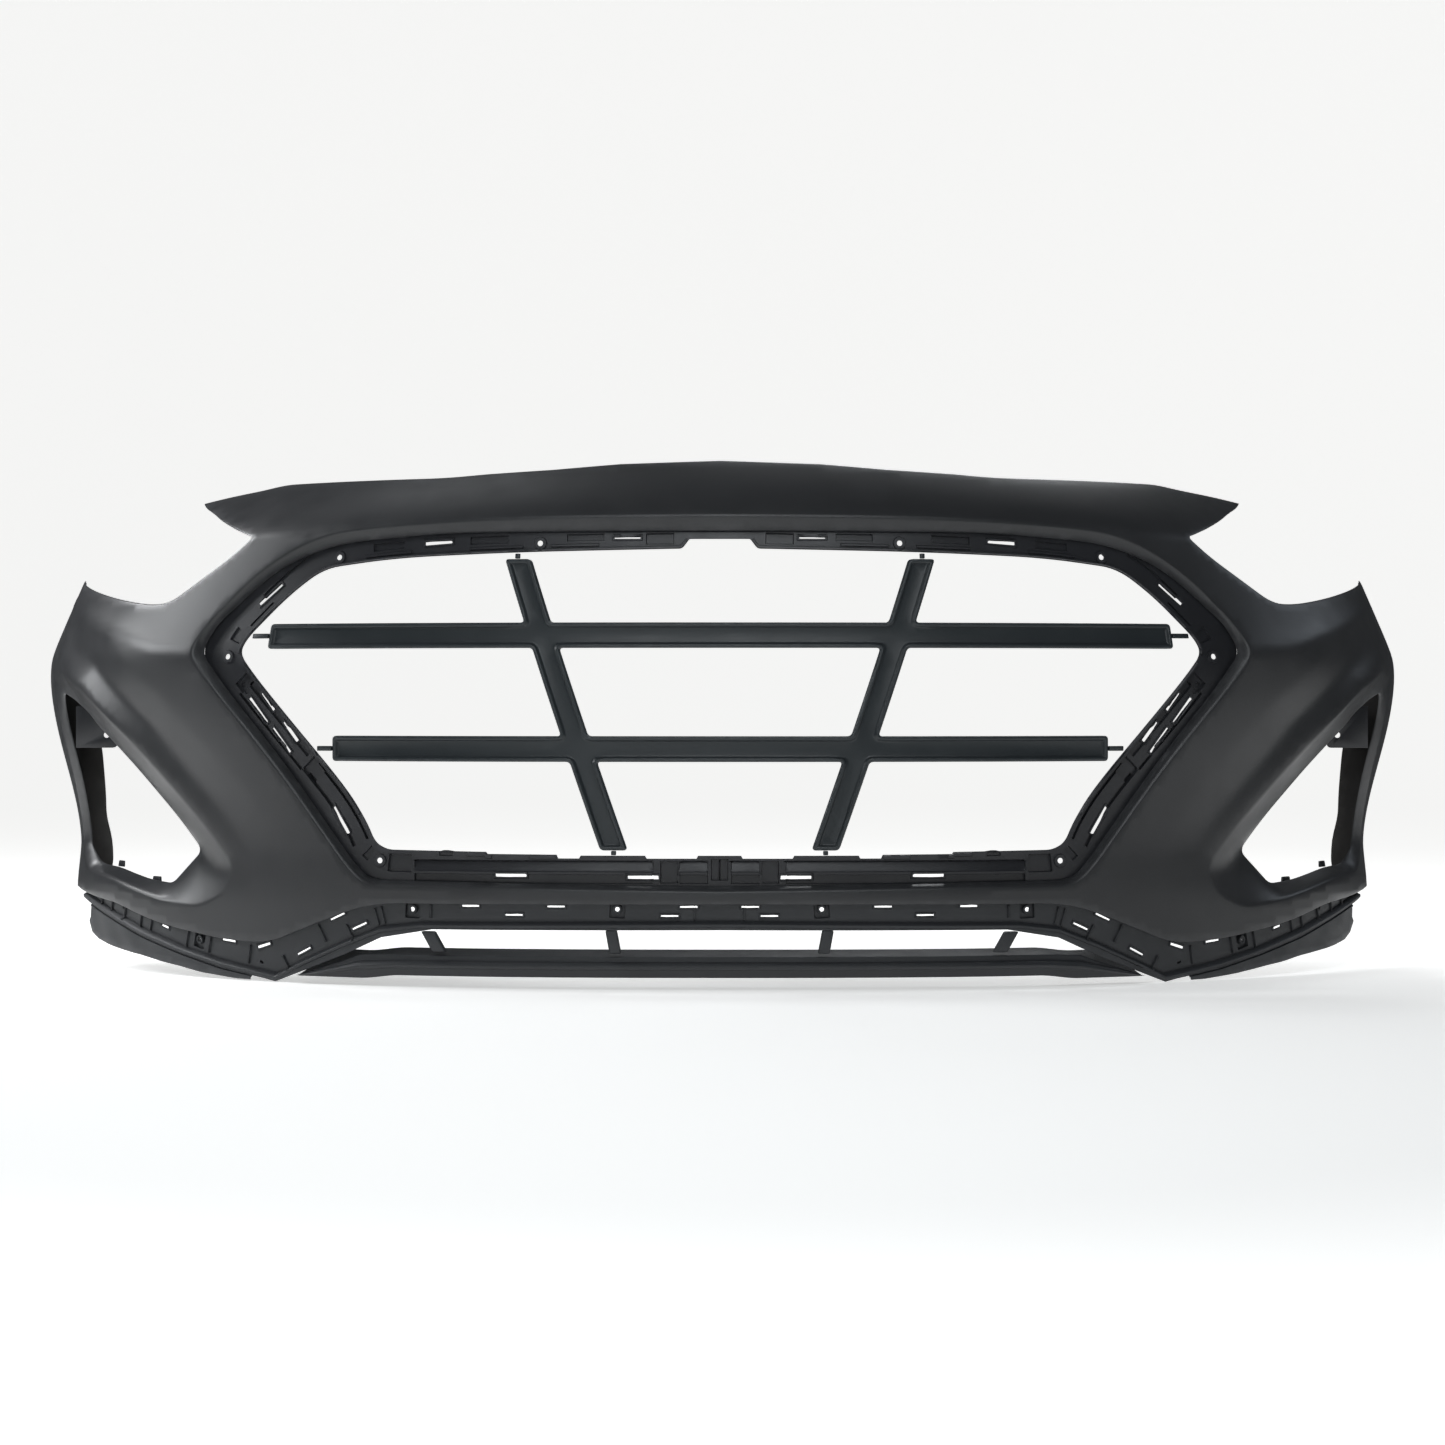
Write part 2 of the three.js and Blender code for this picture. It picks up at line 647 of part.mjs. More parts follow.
function heightAt(line, x) {
  const i = Math.max(1, line.findIndex(([px]) => px >= x));
  const [x0, z0] = line[i - 1];
  const [x1, z1] = line[i];
  return z0 + ((z1 - z0) * (x - x0)) / (x1 - x0);
}

// flat pattern of a stretch of one of these lines, lowered by drop
function stretch(line, x0, x1, drop) {
  const stations = [x0, ...line.map(([x]) => x).filter((x) => x > x0 + 1 && x < x1 - 1), x1];
  const half = stations.map((x) => {
    const z = heightAt(line, x) - drop;
    return vec(atX(x, z)[0], z);
  });
  return x0 === 0 ? [...flip(half), ...half.slice(1)] : half;
}

function channelSheet(x0, x1) {
  const top = stretch(channelTop, x0, x1, 0);
  const floor = stretch(channelFloor, x0, x1, 0);
  const edge = stretch(channelFloor, x0, x1, 3);
  const low = stretch(channelRim, x0, x1, 0);
  const join = (a, b) => [...a, ...[...b].reverse()];
  const near = (p, line) => Math.min(...line.slice(1).map((b, i) => distance(p, [line[i], b])));
  return sheet([
    { outline: join(top, floor), depth: () => CHANNEL_SET },
    {
      outline: join(floor, edge),
      depth: (p) => (near(p, floor) < near(p, edge) ? CHANNEL_SET : CHANNEL_SET - 6),
    },
    { outline: join(edge, low), depth: () => CHANNEL_SET - 6 },
  ], { step: 80 });
}

const channelSlots = [
  [301, 97, 21, 3.4, 0], [197, 97, 21, 3.2, 0], [37, 97, 21, 3.2, 0], [248, 86.5, 21, 3, 0],
  [60, 86, 21, 3, 0], [468, 81, 21, 3.2, -24], [440, 70, 21, 3.2, -24], [512, 37, 21, 3.2, -26],
  [565, 42, 20, 4, -16], [613, 46, 22, 3.6, 6], [705, 58.5, 15, 3.4, 12],
];
const channelScrews = [[373, 92], [123, 94], [655, 45]];

function pierce(sheetBody, x0, x1, sides) {
  let body = toManifold(sheetBody);
  const within = ([x]) => x > x0 && x < x1;
  sides.forEach((side) => {
    channelScrews.filter(within).forEach(([x, z]) => {
      const s = side * atX(x, z, 0, CHANNEL_SET)[0];
      body = body.add(stud(circle(6, 10), s, z, CHANNEL_SET - 2, CHANNEL_SET + 2));
      body = body.subtract(stud(circle(3.2, 8), s, z, CHANNEL_SET - 9, CHANNEL_SET + 9));
    });
    channelSlots.filter(within).forEach(([x, z, length, width, degrees]) => {
      const s = side * atX(x, z, 0, CHANNEL_SET)[0];
      const hole = slot(length, width, side * degrees);
      body = body.subtract(stud(hole, s, z, CHANNEL_SET - 9, CHANNEL_SET + 9));
    });
  });
  return body;
}

const mirrorBody = (body) => body.mirror([1, 0, 0]);
const centreChannel = channelSheet(0, POINT - GAP / 2);
add('trim_channel_middle', 'grained', pierce(centreChannel, 0, POINT, [1, -1]));
const sideChannel = pierce(channelSheet(POINT + GAP / 2, 846), POINT, 900, [1]);
add('trim_channel_right', 'grained', sideChannel);
add('trim_channel_left', 'grained', mirrorBody(sideChannel));

// ---- lower lip: an open section with a sloping shelf, a groove and a front edge
const LIP_TOP = 43;
const LIP_FOOT = 11;
const lipSection = [
  [38, LIP_TOP], [5, 36], [5, 30.5], [-2, 28], [-5, 23.5], [-1, LIP_FOOT], [28, LIP_FOOT], [28, 14],
  [2, 14], [-2, 23.5], [0.5, 25.5], [8, 27.8], [8, 33.6], [38, 40],
];
const LIP_END = atX(520, 30)[0];
add('lower_lip', 'grained', rail((s) => {
  const x = Math.abs(skin(s, 30).x);
  const top = Math.min(LIP_TOP, heightAt(channelRim, x) - 1.2);
  const foot = LIP_FOOT - 4.5 * smooth(390, 440, x);
  const squash = (top - foot) / (LIP_TOP - LIP_FOOT);
  return lipSection.map(([w, z]) => [w, foot + (z - LIP_FOOT) * squash]);
}, -LIP_END, LIP_END, 28));

// ---- slanted struts of the lower intake
const STRUTS = [
  ['inner', 131, 126, 7, 68.4], ['outer', 357, 343, 8.5, 65.4],
];
SIDES.forEach(([label, side]) => STRUTS.forEach(([name, top, foot, half, height]) => {
  const outline = [
    vec(foot - half, 40.6), vec(foot + half, 40.6), vec(top + half, height), vec(top - half, height),
  ];
  add(`intake_strut_${name}_${label}`, 'grained', slab(onSide(outline, side), 1.4, 13));
}));

// ---- side lips under the channel
const sideLipFoot = [
  [584, -1], [624, 1.5], [683, 10], [743, 20.5], [798, 29], [826, 42], [832, 56], [829, 62],
];
SIDES.forEach(([label, side]) => {
  const top = stretch(channelRim, 584, 829, GAP + 0.8);
  const foot = sideLipFoot.map(([x, z]) => vec(atX(x, z)[0], z)).reverse();
  add(`side_lip_${label}`, 'grained', sheet([{
    outline: onSide([...top, ...foot], side),
    depth: () => CHANNEL_SET - 6,
  }], { step: 60 }));
});

// ---- wheel arch flanges: strips turned inward along the arch, notched on the inner edge
function archPlace(side) {
  return (u, v, depth) => {
    const radius = ARCH.radius + 2 + depth;
    const a = u / ARCH.radius;
    const y = ARCH.y - radius * Math.cos(a);
    const z = ARCH.z + radius * Math.sin(a);
    const [s] = atY(y, z, 0, WALL + GAP);
    return new THREE.Vector3(side * (skin(s, z, WALL + GAP).x - v), y, z);
  };
}
const archFlange = [
  vec(-20, 0), vec(-20, 40), vec(0, 42), vec(61, 34), vec(157, 52), vec(240, 52), vec(330, 36),
  vec(420, 16), vec(420, 0),
];
SIDES.forEach(([label, side]) => {
  const strip = sheet([{ outline: archFlange, depth: () => 0 }], {
    step: 70,
    place: archPlace(side),
    back: WALL,
  });
  add(`wheel_arch_flange_${label}`, 'black', toManifold(strip).subtract(skinClearance));
});

// ---- fog lamp brackets: a flat front tab with a screw hole on a web that runs back to the arch
const TAB_Y = 352;
const TAB_EDGE = 851;
const tabFace = ease([
  [797, 283, 6], [TAB_EDGE, 283], [TAB_EDGE, 338], [836, 338, 4], [797, 299, 8],
], true);
const webFace = [[TAB_Y, 338], [TAB_Y, 283]];
for (let z = 283; z <= 338; z += 11) webFace.push([archY(z) - WALL - 3.2, z]);

const point = (x, y, z) => new THREE.Vector3(x, y, z);
const tab = prism(tabFace, (q, end) => point(q.x, TAB_Y + end * WALL, q.y));
const webOutline = webFace.map(([y, z]) => vec(y, z));
const web = prism(webOutline, (q, end) => point(TAB_EDGE - end * WALL, q.x, q.y));
const tabHole = prism(circle(4, 12), (q, end) => point(q.x + 811, TAB_Y - 5 + end * 14, q.y + 300));
const bracket = toManifold(tab).add(toManifold(web)).subtract(toManifold(tabHole));
add('fog_lamp_bracket_right', 'black', bracket);
add('fog_lamp_bracket_left', 'black', mirrorBody(bracket));

// ---- clip tabs on the lower edge of the fog lamp opening
const CLIPS = [['inner', 728, 111, 119], ['outer', 790, 127, 135]];
SIDES.forEach(([label, side]) => CLIPS.forEach(([name, x, z0, z1]) => {
  const s = atX(x, z0, 0, 33)[0];
  const outline = [vec(s - 11, z0), vec(s + 11, z0), vec(s + 9, z1), vec(s - 9, z1)];
  add(`fog_clip_${name}_${label}`, 'black', slab(onSide(outline, side), 33, 36));
}));

export default group;
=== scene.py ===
"""Looks of a front bumper cover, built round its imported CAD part.

Lengths in the surface formulas are millimetres from the foremost plane, as in the CAD;
row() turns them into metres in the row frame.
"""

import math

import bmesh
import bpy
import numpy as np
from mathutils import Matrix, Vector
from mathutils.geometry import delaunay_2d_cdt


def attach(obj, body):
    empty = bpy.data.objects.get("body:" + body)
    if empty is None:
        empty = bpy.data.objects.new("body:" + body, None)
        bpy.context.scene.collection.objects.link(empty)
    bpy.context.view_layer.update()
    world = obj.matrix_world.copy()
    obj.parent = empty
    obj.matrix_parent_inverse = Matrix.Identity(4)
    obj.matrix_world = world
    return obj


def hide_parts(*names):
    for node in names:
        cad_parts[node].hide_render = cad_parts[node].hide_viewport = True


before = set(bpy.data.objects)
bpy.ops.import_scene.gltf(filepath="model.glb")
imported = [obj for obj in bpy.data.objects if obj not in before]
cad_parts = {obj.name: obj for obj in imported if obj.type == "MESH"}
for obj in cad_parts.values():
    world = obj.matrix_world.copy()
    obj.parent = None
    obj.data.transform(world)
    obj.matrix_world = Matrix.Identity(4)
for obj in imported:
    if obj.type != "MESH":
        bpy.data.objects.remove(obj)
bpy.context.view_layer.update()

# ------------------------------------------------------------------ driving dimensions
HALF_WIDTH, NOSE_DEPTH, NOSE_POWER = 923.0, 600.0, 2.4
WALL, GAP = 3.0, 0.4
ARCH_Y, ARCH_Z, ARCH_RADIUS = 830.0, 130.0, 420.0
BEVEL_DEPTH, LEDGE_DEPTH = 14.0, 28.0
FLANGE_SET, CHANNEL_SET = 17.6, 7.0
BRACE_SET, BRACE_THICK, BRACE_HALF = 20.0, 12.0, 15.6
BRACE_TILT, BRACE_FOOT = 0.358, 129.0
BACK_SHIFT, LIFT = 310.4, 2.0
SIDES = (("right", 1), ("left", -1))
LONGEST_MITRE = 1.6
THIN_WALL = 2.4


# ------------------------------------------------------------------ nose surface
def smooth(low, high, v):
    t = np.clip((np.asarray(v, float) - low) / (high - low), 0, 1)
    return t * t * (3 - 2 * t)


def bend(v, r):
    return (v + np.hypot(v, r)) / 2


T = np.linspace(0, 1, 1501)


def plan_point(t):
    x = HALF_WIDTH * np.sin(t * np.pi / 2) ** (2 / NOSE_POWER)
    y = NOSE_DEPTH * (1 - np.clip(np.cos(t * np.pi / 2), 0, 1) ** (2 / NOSE_POWER))
    return x, y


RUN = np.concatenate([[0], np.cumsum(np.hypot(*np.diff(np.array(plan_point(T)))))])


def plan(s):
    """Point and outward normal of the plan curve, s millimetres along it from the middle."""
    s = np.asarray(s, float)
    side = np.where(s < 0, -1.0, 1.0)
    x, y = plan_point(np.interp(np.abs(s), RUN, T))
    y = y + np.clip(np.abs(s) - RUN[-1], 0, None)
    gx = (x / HALF_WIDTH) ** (NOSE_POWER - 1) / HALF_WIDTH
    gy = np.clip(1 - y / NOSE_DEPTH, 0, 1) ** (NOSE_POWER - 1) / NOSE_DEPTH
    g = np.hypot(gx, gy)
    return side * x, y, side * gx / g, -gy / g


def inset(s, z):
    """How far the painted skin lies inside the nose surface."""
    x = np.abs(plan(s)[0])
    z = np.asarray(z, float)
    sideways = smooth(0.3 * HALF_WIDTH, 0.92 * HALF_WIDTH, x)
    middle = 62 * (np.clip(z - 150, 0, None) / 420) ** 2
    middle = middle + 8 * (np.clip(150 - z, 0, None) / 150) ** 2
    tuck = 38 * (1 - smooth(150, 385, z)) - 5 * (1 - smooth(95, 165, z))
    flank = tuck + 0.43 * bend(z - 400, 14)
    hood_line = 569 - 22 * (x / 600) ** 2
    hood_lean = 70 * (np.clip(z - hood_line, 0, None) / 73) ** 1.35
    return (1 - sideways) * middle + sideways * flank + hood_lean


def skin(s, z, depth=0.0):
    """Points of the surface, one row each, at a depth under the skin."""
    x, y, nx, ny = plan(s)
    w = inset(s, z) + depth
    return np.stack([x - nx * w, y - ny * w, np.asarray(z, float) + 0 * x], -1)


def solve(measure, target):
    low, high = 0.0, RUN[-1] + 60
    for _ in range(36):
        mid = (low + high) / 2
        if measure(mid) < target:
            low = mid
        else:
            high = mid
    return (low + high) / 2


def at_x(x, z, r=0.0, depth=0.0):
    """Surface coordinates of a point given across the car, with a corner rounding r."""
    return solve(lambda s: skin(s, z, depth)[0], x), z, r


def at_y(y, z, r=0.0, depth=0.0):
    return solve(lambda s: skin(s, z, depth)[1], y), z, r


def arch_y(z):
    return ARCH_Y - math.sqrt(ARCH_RADIUS ** 2 - (z - ARCH_Z) ** 2)


def row(points):
    """Row frame, in metres, of points in millimetres from the foremost plane."""
    return (np.asarray(points, float) + [0, -BACK_SHIFT, LIFT]) / 1000


# ------------------------------------------------------------------ outlines
def ease(corners, closed, divisions=6):
    """Polyline with each corner (u, v, r) rounded over the length r on both sides."""
    n = len(corners)
    out = []
    for i, (u, v, r) in enumerate(corners):
        here = np.array([u, v], float)
        if not r or (not closed and i in (0, n - 1)):
            out.append(here)
            continue
        before = np.array(corners[i - 1][:2], float)
        after = np.array(corners[(i + 1) % n][:2], float)
        a, b = np.linalg.norm(before - here), np.linalg.norm(after - here)
        start = here + (before - here) * min(r, a * 0.46) / a
        end = here + (after - here) * min(r, b * 0.46) / b
        for k in range(divisions + 1):
            t = k / divisions
            out.append((1 - t) ** 2 * start + 2 * t * (1 - t) * here + t * t * end)
    return np.array(out)


def flip(points):
    return (np.asarray(points) * [-1, 1])[::-1]


def mirrored(half):
    """Closed loop from its right half, which starts and ends on the middle line."""
    return np.concatenate([half, flip(half)[1:-1]])


def on_side(points, side):
    return np.asarray(points) if side > 0 else flip(points)


def resample(loop, step, closed=True):
    """The same line with extra points, so that no edge is longer than step."""
    loop = np.asarray(loop, float)
    ends = np.roll(loop, -1, 0) if closed else loop[1:]
    out = []
    for a, b in zip(loop, ends):
        n = max(1, math.ceil(np.linalg.norm(b - a) / step))
        out += [a + (b - a) * k / n for k in range(n)]
    if not closed:
        out.append(loop[-1])
    return np.array(out)


def left_normals(along):
    """Unit normals to the left of a row of directions."""
    return np.stack([-along[:, 1], along[:, 0]], -1) / np.linalg.norm(along, axis=1)[:, None]


def offset(loop, d):
    """Closed loop moved sideways by d to the left of its direction, with long mitres cut short."""
    before = loop - np.roll(loop, 1, 0)
    after = np.roll(loop, -1, 0) - loop
    n = left_normals(before) + left_normals(after)
    length = np.linalg.norm(n, axis=1)
    n = n / length[:, None] ** 2 * 2
    n = n * np.minimum(1, LONGEST_MITRE / np.linalg.norm(n, axis=1))[:, None]
    return loop + n * d


def area(loop):
    x, y = loop[:, 0], loop[:, 1]
    return 0.5 * np.sum(x * np.roll(y, -1) - y * np.roll(x, -1))


def inward(loop, d):
    """Closed loop shrunk by d, or grown if d is negative."""
    return offset(loop, d if area(loop) > 0 else -d)


def distance(points, lines):
    """Distance of each point from the nearest of several polylines given as segments."""
    points = np.asarray(points, float)
    a = np.concatenate([l[0] for l in lines])
    b = np.concatenate([l[1] for l in lines])
    ab = b - a
    out = np.full(len(points), 1e9)
    for k in range(0, len(points), 4000):
        p = points[k:k + 4000, None, :] - a[None]
        t = np.clip((p * ab).sum(-1) / np.maximum((ab * ab).sum(-1), 1e-12), 0, 1)
        d = p - t[..., None] * ab
        out[k:k + 4000] = np.sqrt((d * d).sum(-1).min(1))
    return out


def loop_segments(loop, closed=True):
    loop = np.asarray(loop, float)
    return (loop, np.roll(loop, -1, 0)) if closed else (loop[:-1], loop[1:])


def inside(points, loop):
    points = np.asarray(points, float)
    a, b = loop_segments(loop)
    out = np.zeros(len(points), bool)
    for k in range(0, len(points), 4000):
        x, y = points[k:k + 4000, 0, None], points[k:k + 4000, 1, None]
        crosses = (a[:, 1] > y) != (b[:, 1] > y)
        with np.errstate(divide="ignore", invalid="ignore"):
            at = a[:, 0] + (y - a[:, 1]) * (b[:, 0] - a[:, 0]) / (b[:, 1] - a[:, 1])
        out[k:k + 4000] = (crosses & (x < at)).sum(1) % 2 == 1
    return out


def signed(points, loop):
    """Distance from a closed loop, positive inside it."""
    d = distance(points, [loop_segments(loop)])
    return np.where(inside(points, loop), d, -d)


def ramp(d, r):
    """0 for d below -r, d above r, and a parabola between."""
    return np.where(d < -r, 0, np.where(d > r, d, (d + r) ** 2 / (4 * r)))


HOOD_EDGE = [
    at_x(0, 646), at_x(125, 641.5), at_x(210, 634), at_x(291, 629), at_x(345, 624.5, 30),
    at_x(560, 623.5, 20), at_x(596, 616.5, 20), at_x(681, 604), at_x(654, 586, 20),
    at_x(586, 550, 8), at_x(615, 525, 20), at_x(697, 468, 22), at_x(728, 467, 30),
    at_x(772, 475, 40), at_x(820, 489, 40), at_x(858, 506.5, 4), at_x(863, 503, 4),
]
ARCH_EDGE = [at_y(arch_y(z), z) for z in np.linspace(494, 97, 28)]
CHANNEL_EDGE = [
    at_x(819, 89, 30), at_x(781, 84, 20), at_x(718, 64, 40), at_x(624, 48, 30), at_x(573, 46, 20),
    at_x(549, 50, 12), at_x(489, 75, 40), at_x(442, 93, 22), at_x(405, 99, 20), at_x(0, 100),
]
SKIN_EDGE = mirrored(ease(HOOD_EDGE + ARCH_EDGE + CHANNEL_EDGE, False))
BEVEL_TOP = mirrored(ease([
    at_x(0, 571), at_x(260, 569, 80), at_x(400, 562, 60), at_x(500, 549, 60), at_x(575, 505, 50),
    at_x(638, 442, 24), at_x(661, 404, 24), at_x(634, 366, 30), at_x(549, 268, 60),
    at_x(453, 141, 30), at_x(431, 122, 20), at_x(0, 116.5),
], False))
BEVEL_FOOT = mirrored(ease([
    at_x(0, 553, 0, 14), at_x(330, 552, 60, 14), at_x(480, 540, 50, 14), at_x(556, 508, 50, 14),
    at_x(628, 442, 24, 14), at_x(646, 408, 18, 14), at_x(618, 364, 30, 14), at_x(541, 272, 60, 14),
    at_x(448, 146, 30, 14), at_x(428, 127, 18, 14), at_x(0, 121, 0, 14),
], False))
GRILLE_OPENING = mirrored(ease([
    at_x(0, 543, 0, 20), at_x(37, 543, 2, 20), at_x(46, 531, 4, 20), at_x(250, 527, 60, 20),
    at_x(400, 521, 50, 20), at_x(492, 509, 24, 20), at_x(537, 475, 30, 20), at_x(588, 423, 18, 20),
    at_x(597, 404, 14, 20), at_x(577, 377, 24, 20), at_x(457, 238, 60, 20), at_x(431, 196, 20, 20),
    at_x(421, 172, 14, 20), at_x(405, 163.5, 8, 20), at_x(283, 162, 0, 20), at_x(281, 159.5, 0, 20),
    at_x(197, 159, 0, 20), at_x(195, 154.5, 0, 20), at_x(170, 154.5, 0, 20), at_x(168, 158, 0, 20),
    at_x(90, 158, 0, 20), at_x(88, 154.5, 0, 20), at_x(28, 154.5, 0, 20), at_x(26, 158, 0, 20),
    at_x(0, 158, 0, 20),
], False))
LEDGE_TOP = ease([
    at_x(860, 384, 20), at_x(818, 361, 30), at_x(736, 288, 60), at_x(638, 182, 30),
    at_x(604, 136, 20), at_x(620, 104, 20), at_x(655, 87, 20), at_x(705, 92, 30),
    at_x(790, 117, 30), at_y(362, 124, 20), at_y(390, 150, 20), at_y(391, 200, 30),
    at_y(380, 260, 40), at_y(386, 340, 30), at_y(392, 376, 12),
], True)
LEDGE_FOOT = ease([
    at_x(846, 349, 14, 20), at_x(822, 331, 20, 28), at_x(763, 278, 60, 28), at_x(688, 196, 26, 28),
    at_x(657, 156, 12, 28), at_x(700, 112, 12, 28), at_x(734, 115, 20, 28), at_x(783, 125, 20, 22),
    at_y(345, 130, 12), at_y(376, 156, 12), at_y(378, 200, 30), at_y(366, 260, 40),
    at_y(369, 330, 24), at_y(360, 356, 10),
], True)


# ------------------------------------------------------------------ mesh makers
def triangulate(points, loops, region):
    """Triangles over the points, with the loops' edges kept, where region(centres) is true."""
    known = {}
    verts = []
    index = []
    for p in np.round(points, 4):
        key = (p[0], p[1])
        if key not in known:
            known[key] = len(verts)
            verts.append(Vector((p[0], p[1])))
        index.append(known[key])
    edges = []
    for start, count, closed in loops:
        for k in range(count if closed else count - 1):
            a, b = index[start + k], index[start + (k + 1) % count]
            if a != b:
                edges.append((a, b))
    out, _, faces, *_ = delaunay_2d_cdt(verts, edges, [], 0, 1e-5)
    flat = np.array([(v.x, v.y) for v in out])
    tris = np.array([f for f in faces if len(f) == 3])
    tris = tris[region(flat[tris].mean(1))]
    p, q, r = flat[tris[:, 0]], flat[tris[:, 1]], flat[tris[:, 2]]
    turn = (q[:, 0] - p[:, 0]) * (r[:, 1] - p[:, 1]) - (q[:, 1] - p[:, 1]) * (r[:, 0] - p[:, 0])
    tris = np.where((turn < 0)[:, None], tris[:, ::-1], tris)
    tris = tris[np.abs(turn) > 1e-7]
    used = np.unique(tris)
    renumber = np.full(len(flat), -1)
    renumber[used] = np.arange(len(used))
    return flat[used], renumber[tris]


def grid(loop, step, clear, lines):
    """Staggered points over a loop's box, kept clear of the lines."""
    lo, hi = loop.min(0), loop.max(0)
    rows = np.arange(lo[1] + step / 2, hi[1], step * 0.866)
    out = []
    for k, v in enumerate(rows):
        u = np.arange(lo[0] + (step / 2 if k % 2 else 0), hi[0], step)
        out.append(np.stack([u, np.full(len(u), v)], -1))
    points = np.concatenate(out)
    points = points[inside(points, loop)]
    return points[distance(points, lines) > clear]


def build(name, verts, faces, material, shade=38, attributes=None):
    mesh = bpy.data.meshes.new(name)
    mesh.from_pydata([tuple(v) for v in verts], [], [tuple(int(i) for i in f) for f in faces])
    mesh.validate()
    mesh.polygons.foreach_set("use_smooth", [True] * len(mesh.polygons))
    mesh.set_sharp_from_angle(angle=math.radians(shade))
    for key, values in (attributes or {}).items():
        layer = mesh.attributes.new(key, "FLOAT", "POINT")
        layer.data.foreach_set("value", np.asarray(values, np.float32))
    mesh.update()
    obj = bpy.data.objects.new(name, mesh)
    bpy.context.scene.collection.objects.link(obj)
    obj.data.materials.append(material)
    return obj


def sheet(name, outline, holes, material, depth, step=10.0, lines=(), wall=WALL, place=skin,
          back=None, edge=1.2, shade=38):
    """A moulded wall over a flat pattern, meshed every step millimetres.

    depth(points) is the front's depth under the skin, and the border is rounded over the
    length edge. lines are extra loops that the mesh follows. The rear is wall behind the
    front, or lies at the depth back if that is given.
    """
    loops = []
    stack = []
    borders = [outline, *holes]
    rounds = (edge * 0.3, edge) if edge > 0.8 else (edge,)
    for k, loop in enumerate(borders):
        loop = resample(loop, step)
        into_wall = 1 if k == 0 else -1
        stack.append((loop, True))
        stack += [(inward(loop, into_wall * d), True) for d in rounds]
    for loop, closed in lines:
        stack.append((resample(loop, step, closed), closed))
    points = []
    start = 0
    for loop, closed in stack:
        loops.append((start, len(loop), closed))
        points.append(loop)
        start += len(loop)
    segments = [loop_segments(l, c) for l, c in stack]
    points.append(grid(outline, step, step * 0.45, segments))

    def keep(c):
        ok = inside(c, outline)
        for hole in holes:
            ok &= ~inside(c, hole)
        return ok

    flat, tris = triangulate(np.concatenate(points), loops, keep)
    d = distance(flat, [loop_segments(l) for l in borders])
    rounding = np.where(d < edge, edge - np.sqrt(np.clip(edge ** 2 - (edge - d) ** 2, 0, None)), 0)
    base = depth(flat)
    front = place(flat[:, 0], flat[:, 1], base + rounding)
    n = np.zeros_like(front)
    cross = np.cross(front[tris[:, 1]] - front[tris[:, 0]], front[tris[:, 2]] - front[tris[:, 0]])
    for k in range(3):
        np.add.at(n, tris[:, k], cross)
    n /= np.maximum(np.linalg.norm(n, axis=1), 1e-12)[:, None]
    if back is None:
        rear = place(flat[:, 0], flat[:, 1], base) - n * wall
    else:
        rear = place(flat[:, 0], flat[:, 1], np.full(len(flat), back))
    count = len(flat)
    directed = np.concatenate([tris[:, [0, 1]], tris[:, [1, 2]], tris[:, [2, 0]]])
    have = set(map(tuple, directed.tolist()))
    rim = [(a, b) for a, b in have if (b, a) not in have]
    faces = [tuple(t) for t in tris] + [tuple(t[::-1] + count) for t in tris]
    faces += [(b, a, a + count, b + count) for a, b in sorted(rim)]
    wear = np.exp(-(d / 3.0) ** 2)
    verts = row(np.concatenate([front, rear]))
    return build(name, verts, faces, material, shade, {"wear": np.concatenate([wear, wear])})


def finish_piece(obj, slot, *nodes):
    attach(obj, "root")
    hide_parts(*nodes)
    return obj


# ------------------------------------------------------------------ materials
MOTTLE, ROUGH_SPREAD = 0.12, 0.045
SPECK_GAIN, WORN_GAIN, WORN_LIFT = 1.35, 2.2, 0.01


